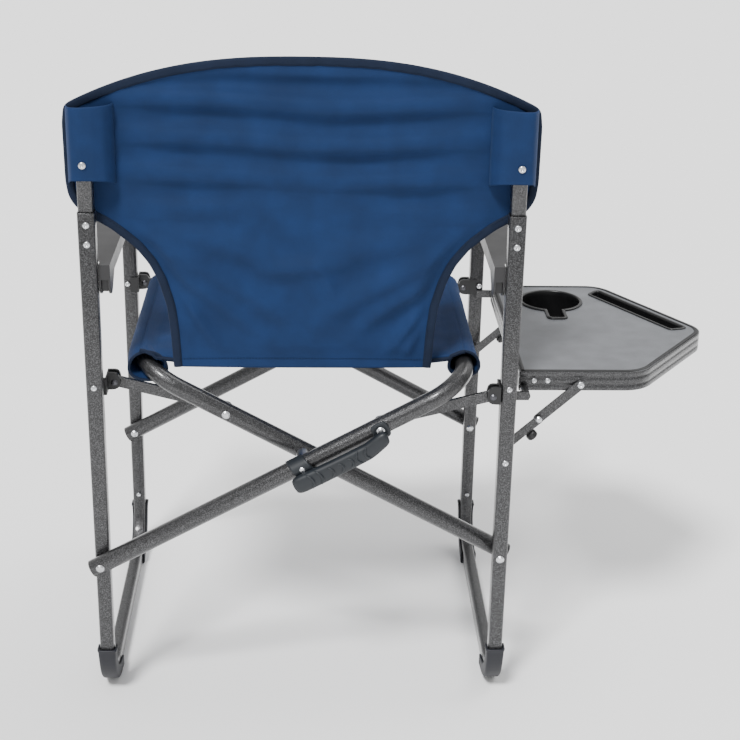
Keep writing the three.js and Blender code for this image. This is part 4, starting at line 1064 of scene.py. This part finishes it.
class CHAIR_OT_seat(ChairOperator):
    """Make the padded seat, its side tunnels over the rails and their tape"""

    bl_idname = "camp_chair.seat"
    bl_label = "Seat"

    def execute(self, context):
        rows, columns = 120, 150
        s = np.linspace(-1, 1, columns)[None]
        t = np.linspace(0, 1, rows)[:, None]
        x = 0.2225 * s + 0 * t
        y = SEAT_REAR_Y + SEAT_DEPTH * t + 0 * s
        inside = np.clip((0.205 - np.abs(x)) / 0.012, 0, 1)
        plump = (1 - np.exp(-np.minimum(t, 1 - t) * 28)) * inside
        dip = 0.0055 * np.clip(1 - (x / 0.205) ** 2, 0, 1) * np.sin(np.pi * t) ** 0.7
        soft = smooth_noise(x, y, 31, low=2, high=7)
        pull = smooth_noise(x * 0.4, y, 33, 9, 14, 30)
        over = RAIL_Z + np.sqrt(np.clip(0.0212 ** 2 - (np.abs(x) - RAIL_X) ** 2, 0, 1))
        flat = SEAT_TOP_Z + 0.0028 * plump - dip + 0.0011 * soft + 0.0006 * pull
        top = np.where(np.abs(x) > 0.196, np.maximum(over, flat), flat)
        top = smooth_rows(top.T, 3).T
        sag = 0.0060 * np.exp(-((y - SEAT_REAR_Y) / 0.011) ** 1.3) * np.clip(
            (0.207 - np.abs(x)) / 0.045, 0, 1)
        top = top - sag
        low = np.minimum(top - 0.0012 - 0.0062 * plump, 0.5085 - dip * 0.9 + 0.0007 * soft)
        low = np.where(np.abs(x) > 0.203, top - 0.0014, low - sag)
        made = Surface()
        uv = np.stack([x, y], -1)
        shells = [np.stack([x, y, level], -1) for level in (top, low)]
        for shell in shells:
            made.add(shell, uv=uv)
        made.add(np.stack([rim_of(shell) for shell in shells]), wrap_columns=True)
        seat = made.piece("seat_cloth", MATERIALS["blue cloth"],
                          replaces=["seat_panel_left", "seat_panel_right"],
                          slot="blue_fabric")
        self.bend(seat)
        self.edge_tape((shells[0][0] + shells[1][0]) / 2, "rear")
        self.edge_tape((shells[0][-1] + shells[1][-1]) / 2, "front")
        for name, side in SIDES:
            self.tunnel(name, side)
        return {"FINISHED"}

    @staticmethod
    def bend(piece):
        """Bakes the placement of a piece of the seat into its mesh."""
        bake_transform(piece)

    def edge_tape(self, line, label):
        """Tape over the seat's front or rear edge: a flat oval carried across the chair."""
        tangent = unit(np.gradient(line, axis=0))
        grid = swept(line, tangent, round_section(0.0030, 14, 0.9), (0, 0, 1))
        uv = np.stack(np.broadcast_arrays(line[:, :1], np.linspace(0, 0.02, 14)[None]), -1)
        tape = Surface()
        tape.add(lidded(grid), wrap_columns=True, uv=np.concatenate([uv[:1], uv, uv[-1:]]))
        self.bend(tape.piece(f"seat_binding_{label}", MATERIALS["navy binding"],
                             slot="blue_fabric"))

    def tunnel(self, name, side):
        """The cloth tunnel on a rail: ovals across the rail, from its rear mouth to its front.

        Where the tube bends away from the rail the ovals move half as far and grow, so the
        tube leaves through the inner side of the mouth.
        """
        tube_y = -TUBE_Y if side > 0 else TUBE_Y
        corner = np.array([side * RAIL_X, tube_y, RAIL_Z])
        down = np.array([-side * math.cos(SLOPE), 0, -math.sin(SLOPE)])
        path, _ = bent_path([corner + down * 0.2, corner, corner + [0, 0.40, 0]],
                              self.sizes().tube_bend, 26, spacing=0.004)
        keep = (path[:, 1] > SEAT_REAR_Y) & (path[:, 1] < 0.377)
        path = path[keep]
        level = path[:, 1:2]
        aside = side * RAIL_X - path[:, :1]
        drop = RAIL_Z - path[:, 2:]
        centre_x = side * RAIL_X - 0.5 * aside
        centre_z = RAIL_Z - 0.5 * drop
        angle = (np.arange(48) * 2 * math.pi / 48)[None]
        out, up = side * np.cos(angle), np.sin(angle)
        lump = 0.0007 * smooth_noise(level, angle * 0.016, 40 + side, 8, 6, 26)
        mouth = 0.0020 * np.exp(-(level - SEAT_REAR_Y) / 0.015)
        wide = 0.0205 + 0.25 * np.abs(aside) + mouth + lump
        tall = 0.0200 + 0.30 * drop + mouth * 0.6 + lump
        tall = tall * (1 - 0.22 * np.clip(-up, 0, 1))
        made = Surface()
        shells = []
        inner = 1 - 0.0022 / wide - 0.26 * np.clip((level - 0.075) / 0.03, 0, 1)
        for share in (1.0, inner):
            shells.append(np.stack(np.broadcast_arrays(
                centre_x + out * wide * share, level, centre_z + up * tall * share), -1))
        uv = np.stack(np.broadcast_arrays(angle * 0.02, level), -1)
        for shell in shells:
            made.add(shell, wrap_columns=True, uv=uv)
        for row in (0, -1):
            made.add(np.stack([shells[0][row], shells[1][row]]), wrap_columns=True)
        rail = "b" if side < 0 else "a"
        tunnel = made.piece(f"rail_tunnel_{name}", MATERIALS["blue cloth"],
                            f"scissor_{rail}", replaces=[f"seat_sleeve_{name}"],
                            slot="blue_fabric")
        tape = Surface()
        for row in (0, -1):
            ring = (shells[0][row] + shells[1][row]) / 2
            tangent = unit(np.roll(ring, -1, 0) - np.roll(ring, 1, 0))
            section = round_section(0.0021, 10, 0.9)
            tape.add(swept(ring, tangent, section, (0, 1, 0)), True, True)
        tape.piece(f"tunnel_binding_{name}", MATERIALS["navy binding"], f"scissor_{rail}",
                   slot="blue_fabric")


# ---------------------------------------------------------------- operators: table

def table_outline(inset=0.0, spacing=0.003):
    """The board's outline: five corners, three of them rounded, at even spacing."""
    corner = 0.026 - inset
    a = np.array([TABLE_IN + inset, TABLE_REAR + inset])
    b = np.array([TABLE_OUT, TABLE_REAR + inset])
    tip = np.array([TABLE_TIP[0] - inset * 1.2, TABLE_TIP[1]])
    c = np.array([TABLE_OUT, TABLE_FRONT - inset])
    d = np.array([TABLE_IN + inset, TABLE_FRONT - inset])
    parts = [a[None]]
    bend = np.linspace(0, 1, 14)[:, None]
    for p, before, after in ((b, a, tip), (tip, b, c), (c, tip, d)):
        start, end = p + unit(before - p) * corner, p + unit(after - p) * corner
        parts.append((1 - bend) ** 2 * start + 2 * bend * (1 - bend) * p + bend ** 2 * end)
    parts += [d[None], a[None]]
    line = np.concatenate(parts)
    gap = np.linalg.norm(np.diff(line, axis=0), axis=1)
    at = np.concatenate([[0], np.cumsum(gap)])
    count = int(at[-1] / spacing)
    even = np.linspace(0, at[-1], count, endpoint=False)
    return np.stack([np.interp(even, at, line[:, k]) for k in range(2)], 1)


def outline_normals(line):
    """Outward directions of a closed outline that runs anticlockwise."""
    way = unit(np.roll(line, -1, 0) - np.roll(line, 1, 0))
    return np.stack([way[:, 1], -way[:, 0]], 1)


def carried_round(line, profile):
    """A profile of (offset outwards, height) carried round a closed outline."""
    normal = outline_normals(line)
    profile = np.asarray(profile, float)
    flat = line[:, None] + normal[:, None] * profile[None, :, :1]
    height = np.broadcast_to(profile[None, :, 1:], flat.shape[:2] + (1,))
    return np.concatenate([flat, height], -1)


class CHAIR_OT_table(ChairOperator):
    """Make the table's grooved rim, its edge strip, the cup holder and the phone slot"""

    bl_idname = "camp_chair.table"
    bl_label = "Side table"

    def execute(self, context):
        z = TABLE_Z
        rim = [(-0.0030, z - 0.0002), (-0.0010, z), (-0.0003, z - 0.0005), (0, z - 0.0014),
               (0, z - 0.0062), (-0.0009, z - 0.0072), (-0.0012, z - 0.0082),
               (-0.0009, z - 0.0092), (0, z - 0.0102), (0, z - 0.0172), (-0.0009, z - 0.0182),
               (-0.0012, z - 0.0192), (-0.0009, z - 0.0202), (0, z - 0.0212),
               (0, z - 0.0264), (-0.0004, z - 0.0275), (-0.0014, z - 0.0280),
               (-0.0098, z - 0.0280), (-0.0100, z - 0.0262), (-0.0032, z - 0.0258),
               (-0.0030, z - 0.0240)]
        line = table_outline()
        Surface().add(carried_round(line, rim), True, True).piece(
            "table_band", MATERIALS["hammered paint"], "table", replaces=["table_rim"],
            slot="hammered_steel")
        strip = [(-0.0029, z - 0.004), (-0.0026, z + 0.0001), (-0.0032, z + 0.0008),
                 (-0.0046, z + 0.0012), (-0.0070, z + 0.0012), (-0.0080, z + 0.0008),
                 (-0.0083, z + 0.0002), (-0.0034, z + 0.0001), (-0.0033, z - 0.004)]
        Surface().add(carried_round(line, strip), True, True).piece(
            "table_edge_strip", MATERIALS["black plastic"], "table", slot="black_plastic")
        self.cup()
        self.slot_tray()
        return {"FINISHED"}

    def tray(self, name, line, middle, profile, node_name):
        """A moulded tray: rings offset from an outline, closed on one point at both ends."""
        grid = carried_round(line, profile)
        first = np.broadcast_to([*middle, profile[0][1]], grid[:, :1].shape)
        last = np.broadcast_to([*middle, profile[-1][1]], grid[:, :1].shape)
        grid = np.concatenate([first, grid, last], 1)
        return Surface().add(grid, wrap_rows=True).piece(
            name, MATERIALS["tray plastic"], "table", replaces=[node_name],
            slot="black_plastic")

    def cup(self):
        """The cup holder's outline is a circle with a straight slot for a mug's handle."""
        radius, half, reach = CUP_R, NOTCH_HALF, NOTCH_REACH
        turn = math.asin(half / radius)
        arc = np.linspace(-math.pi / 2 + turn, 1.5 * math.pi - turn, 110)
        circle = np.stack([radius * np.cos(arc), radius * np.sin(arc)], 1)
        y = -radius * math.cos(turn)
        left = np.stack([np.full(10, -half), np.linspace(y, -reach + 0.003, 11)[1:]], 1)
        foot = np.stack([np.linspace(-half + 0.003, half - 0.003, 8), np.full(8, -reach)], 1)
        line = np.concatenate([circle, left, foot, (left * [-1, 1])[::-1]])
        line = line + CUP_MIDDLE
        z, low = TABLE_Z, TABLE_Z - CUP_DEPTH
        profile = [(0.0010, low - 0.0020), (0.0020, low), (0.0020, z), (0.0048, z + 0.0003),
                   (0.0052, z + 0.0012), (0.0046, z + 0.0024), (0.0034, z + 0.0030),
                   (0.0014, z + 0.0030), (0.0004, z + 0.0024), (0.0, z + 0.0012),
                   (-0.0004, z - 0.006), (-0.0010, low + 0.008), (-0.0020, low + 0.003),
                   (-0.0045, low + 0.0008), (-0.0075, low + 0.0004)]
        self.tray("cup_tray", line, CUP_MIDDLE, profile, "cup_holder")

    def slot_tray(self):
        """The phone slot's outline is a long narrow four-sided shape beside the front edge."""
        a, b = np.array([TABLE_OUT, TABLE_FRONT]), np.array(TABLE_TIP)
        way = unit(b - a)
        inward = np.array([way[1], -way[0]])
        middle = (a + b) / 2 + inward * SLOT_IN
        shape = np.array([[-SLOT_HALF_L, -SLOT_HALF_W], [-SLOT_HALF_L + SLOT_NIP, SLOT_HALF_W],
                          [SLOT_HALF_L - SLOT_NIP, SLOT_HALF_W], [SLOT_HALF_L, -SLOT_HALF_W]])
        corners = middle + shape[:, :1] * way - shape[:, 1:] * -inward
        centre = corners.mean(0)
        closed = np.concatenate([corners, corners[:1]])
        gap = np.linalg.norm(np.diff(closed, axis=0), axis=1)
        at = np.concatenate([[0], np.cumsum(gap)])
        even = np.linspace(0, at[-1], 150, endpoint=False)
        line = np.stack([np.interp(even, at, closed[:, k]) for k in range(2)], 1)
        for _ in range(2):
            line = (np.roll(line, 1, 0) + 2 * line + np.roll(line, -1, 0)) / 4
        area = np.sum(line[:, 0] * np.roll(line[:, 1], -1) - line[:, 1] * np.roll(line[:, 0], -1))
        line = line if area > 0 else line[::-1]
        z, low = TABLE_Z, TABLE_Z - SLOT_DEPTH
        profile = [(0.0012, low - 0.0018), (0.0025, low), (0.0025, z), (0.0046, z + 0.0004),
                   (0.0048, z + 0.0012), (0.0040, z + 0.0019), (0.0012, z + 0.0019),
                   (0.0002, z + 0.0012), (0, z - 0.002), (-0.0004, low + 0.003),
                   (-0.0016, low + 0.0006), (-0.0030, low + 0.0003)]
        self.tray("phone_tray", line, tuple(centre), profile, "phone_slot")


# ---------------------------------------------------------------- operators: handle

class CHAIR_OT_handle(ChairOperator):
    """Make the carry handle with its crescent ribs and its two lugs"""

    bl_idname = "camp_chair.handle"
    bl_label = "Carry handle"

    def execute(self, context):
        face = -TUBE_Y - TUBE_R - 0.0003
        made = Surface()
        t = np.linspace(0, 1, 80)[:, None]
        start, end = CROSS_U - 0.021, LINK_U + 0.007
        u = start + (end - start) * t
        angle = (np.arange(44) * 2 * math.pi / 44)[None]
        round_off = (1 - np.abs(2 * t - 1) ** 16) ** 0.35
        half = (0.0126 - 0.0016 * t) * round_off
        lift = np.clip((t - 0.74) / 0.26, 0, 1)
        drop = -0.0142 - 0.0012 * np.sin(np.pi * t) + 0.0060 * lift ** 2 * (3 - 2 * lift)
        thick = 0.0082 * round_off
        power = 0.72
        across = np.sign(np.cos(angle)) * np.abs(np.cos(angle)) ** power
        deep = np.sign(np.sin(angle)) * np.abs(np.sin(angle)) ** power
        middle_y = face - 0.0040 - 0.0078
        grid = on_diagonal(u + 0 * angle, drop + half * across, middle_y + thick * deep)
        made.add(lidded(grid), wrap_columns=True)
        ribs = ((0.16, 1, 0.90, 0.0019), (0.25, 1, 0.90, 0.0019), (0.37, 1, 0.62, 0.0015),
                (0.47, 1, 0.62, 0.0015), (0.57, 1, 0.62, 0.0015), (0.69, -1, 0.85, 0.0018),
                (0.78, -1, 0.80, 0.0018))
        for spot, way, reach, girth in ribs:
            bow = np.linspace(-1, 1, 24)
            share = bow * reach
            at = np.interp(spot, t[:, 0], drop[:, 0])
            size = np.interp(spot, t[:, 0], half[:, 0])
            level = np.sqrt(1 - np.abs(share) ** (2 / power)) ** power
            path = on_diagonal(start + (end - start) * spot + way * 0.0060 * (1 - bow ** 2),
                               at + size * share, middle_y - 0.0082 * level - 0.0002)
            taper = np.sqrt(np.clip(1 - bow ** 4, 0.03, 1))
            rib = swept(path, unit(np.gradient(path, axis=0)), round_section(girth, 10),
                        (0, 1, 0), taper)
            made.add(lidded(rib), wrap_columns=True)
        made.add(self.lug(LINK_U, face), wrap_columns=True)
        for shell in self.strap():
            made.add(shell)
        made.add(np.stack([rim_of(shell) for shell in self.strap()]), wrap_columns=True)
        made.piece("carry_grip", MATERIALS["grip plastic"], "scissor_a",
                   replaces=["carry_handle"], slot="grip_plastic")
        return {"FINISHED"}

    @staticmethod
    def lug(u, face):
        """A square-cornered lug: rings of radius and depth about the pin.

        Outer rings are widened by (cos ** 4 + sin ** 4) ** -0.25, which squares them.
        """
        profile = np.array([[0.0044, 0.0], [0.0112, 0.0], [0.0118, -0.0008], [0.0118, -0.0034],
                            [0.0110, -0.0041], [0.0085, -0.0042], [0.0062, -0.0037],
                            [0.0044, -0.0036], [0.0044, 0.0]])
        angle = (np.arange(48) * 2 * math.pi / 48)[None]
        r, y = profile[:, :1], profile[:, 1:]
        square = (np.cos(angle) ** 4 + np.sin(angle) ** 4) ** -0.25
        r = np.where(r > 0.008, r * square, r + 0 * angle)
        return on_diagonal(u + r * np.cos(angle), r * np.sin(angle) - 0.001 * (r > 0.008),
                           face + y)

    @staticmethod
    def strap():
        """Outer and inner faces of the strap that hugs the tube over the crossing pin.

        Radius about the tube's centre line is 0.0148, plus 0.0044 * cos(turn) ** 2 outside.
        """
        turn = np.linspace(-1.25, 1.62, 26)[:, None]
        u = CROSS_U - 0.0125 + 0.0250 * np.linspace(0, 1, 14)[None]
        shells = []
        for low, high in ((0.0148, 0.0044), (0.0129, 0.0)):
            r = low + high * np.cos(turn) ** 2 + 0 * u
            shells.append(on_diagonal(u - 0.004 * turn, r * np.sin(turn),
                                      -TUBE_Y - r * np.cos(turn)))
        return shells


# ---------------------------------------------------------------- operators: stage

class CHAIR_OT_stage(ChairOperator):
    """Set the floor, the lights and the camera"""

    bl_idname = "camp_chair.stage"
    bl_label = "Stage"

    def execute(self, context):
        scene = context.scene
        material, _, shader = start_material("pale floor", 0.85)
        shader.inputs["Base Color"].default_value = (0.93, 0.93, 0.93, 1)
        size = 9.0
        mesh = bpy.data.meshes.new("floor")
        mesh.from_pydata([(-size, -size, -0.0005), (size, -size, -0.0005),
                          (size, size, -0.0005), (-size, size, -0.0005)], [], [(0, 1, 2, 3)])
        mesh.materials.append(material)
        floor = bpy.data.objects.new("floor", mesh)
        scene.collection.objects.link(floor)
        world = bpy.data.worlds.new("studio")
        world.use_nodes = True
        world.node_tree.nodes["Background"].inputs["Color"].default_value = (1, 1, 1, 1)
        world.node_tree.nodes["Background"].inputs["Strength"].default_value = 0.85
        scene.world = world
        for label, spot, power, softness in (("key", (-1.3, -2.6, 4.2), 3.9, 13),
                                             ("rim", (1.8, 1.2, 3.0), 1.2, 40)):
            lamp = bpy.data.lights.new(label, "SUN")
            lamp.energy, lamp.angle = power, math.radians(softness)
            obj = bpy.data.objects.new(label, lamp)
            scene.collection.objects.link(obj)
            back = unit(np.array(spot))
            right = unit(np.cross([0, 0, 1], back))
            obj.matrix_world = self.basis(right, np.cross(back, right), back, spot)
        self.camera(scene)
        return {"FINISHED"}

    @staticmethod
    def basis(right, up, back, spot):
        """The matrix of an object with these three directions at this place."""
        columns = np.eye(4)
        columns[:3, 0], columns[:3, 1], columns[:3, 2], columns[:3, 3] = right, up, back, spot
        return Matrix(columns.tolist())

    def camera(self, scene):
        """A long lens behind the chair, a little above it."""
        data = bpy.data.cameras.new("camera")
        data.lens, data.sensor_width = 77.11, 36
        camera = bpy.data.objects.new("camera", data)
        scene.collection.objects.link(camera)
        yaw, pitch, roll = (math.radians(a) for a in (2.378, 21.67, 1.105))
        ahead = np.array([math.sin(yaw) * math.cos(pitch), math.cos(yaw) * math.cos(pitch),
                          -math.sin(pitch)])
        right = np.array([math.cos(yaw), -math.sin(yaw), 0.0])
        up = np.cross(right, ahead)
        turned = right * math.cos(roll) + up * math.sin(roll)
        spot = ORIGIN + np.array([0.00814, -1.99035, 1.30026])
        camera.matrix_world = self.basis(turned, np.cross(turned, ahead), -ahead, spot)
        scene.camera = camera


# ---------------------------------------------------------------- panel and registration

OPERATORS = (CHAIR_OT_materials, CHAIR_OT_stage, CHAIR_OT_kept_nodes, CHAIR_OT_side_frames,
             CHAIR_OT_scissor_tubes, CHAIR_OT_rivets, CHAIR_OT_back, CHAIR_OT_post_sleeves,
             CHAIR_OT_seat, CHAIR_OT_table, CHAIR_OT_handle)


class CHAIR_PT_panel(bpy.types.Panel):
    """The chair's builders in the sidebar"""

    bl_idname = "CHAIR_PT_panel"
    bl_label = "Camp chair"
    bl_space_type = "VIEW_3D"
    bl_region_type = "UI"
    bl_category = "Camp chair"

    def draw(self, context):
        for operator in OPERATORS:
            self.layout.operator(operator.bl_idname)
        for group in (context.scene.camp_chair_sizes, context.scene.camp_chair_colours):
            for name in group.bl_rna.properties.keys():
                if name not in ("rna_type", "name"):
                    self.layout.prop(group, name)


CLASSES = (CampChairSizes, CampChairColours, *OPERATORS, CHAIR_PT_panel)


def register():
    """Adds the chair's classes and its settings on the scene."""
    for made in CLASSES:
        bpy.utils.register_class(made)
    bpy.types.Scene.camp_chair_sizes = bpy.props.PointerProperty(type=CampChairSizes)
    bpy.types.Scene.camp_chair_colours = bpy.props.PointerProperty(type=CampChairColours)


def unregister():
    """Takes them away again, in the opposite order."""
    del bpy.types.Scene.camp_chair_colours
    del bpy.types.Scene.camp_chair_sizes
    for made in reversed(CLASSES):
        bpy.utils.unregister_class(made)


def main():
    """Runs every operator in order."""
    register()
    for operator in OPERATORS:
        group, name = operator.bl_idname.split(".")
        getattr(getattr(bpy.ops, group), name)()


if __name__ == "__main__":
    main()
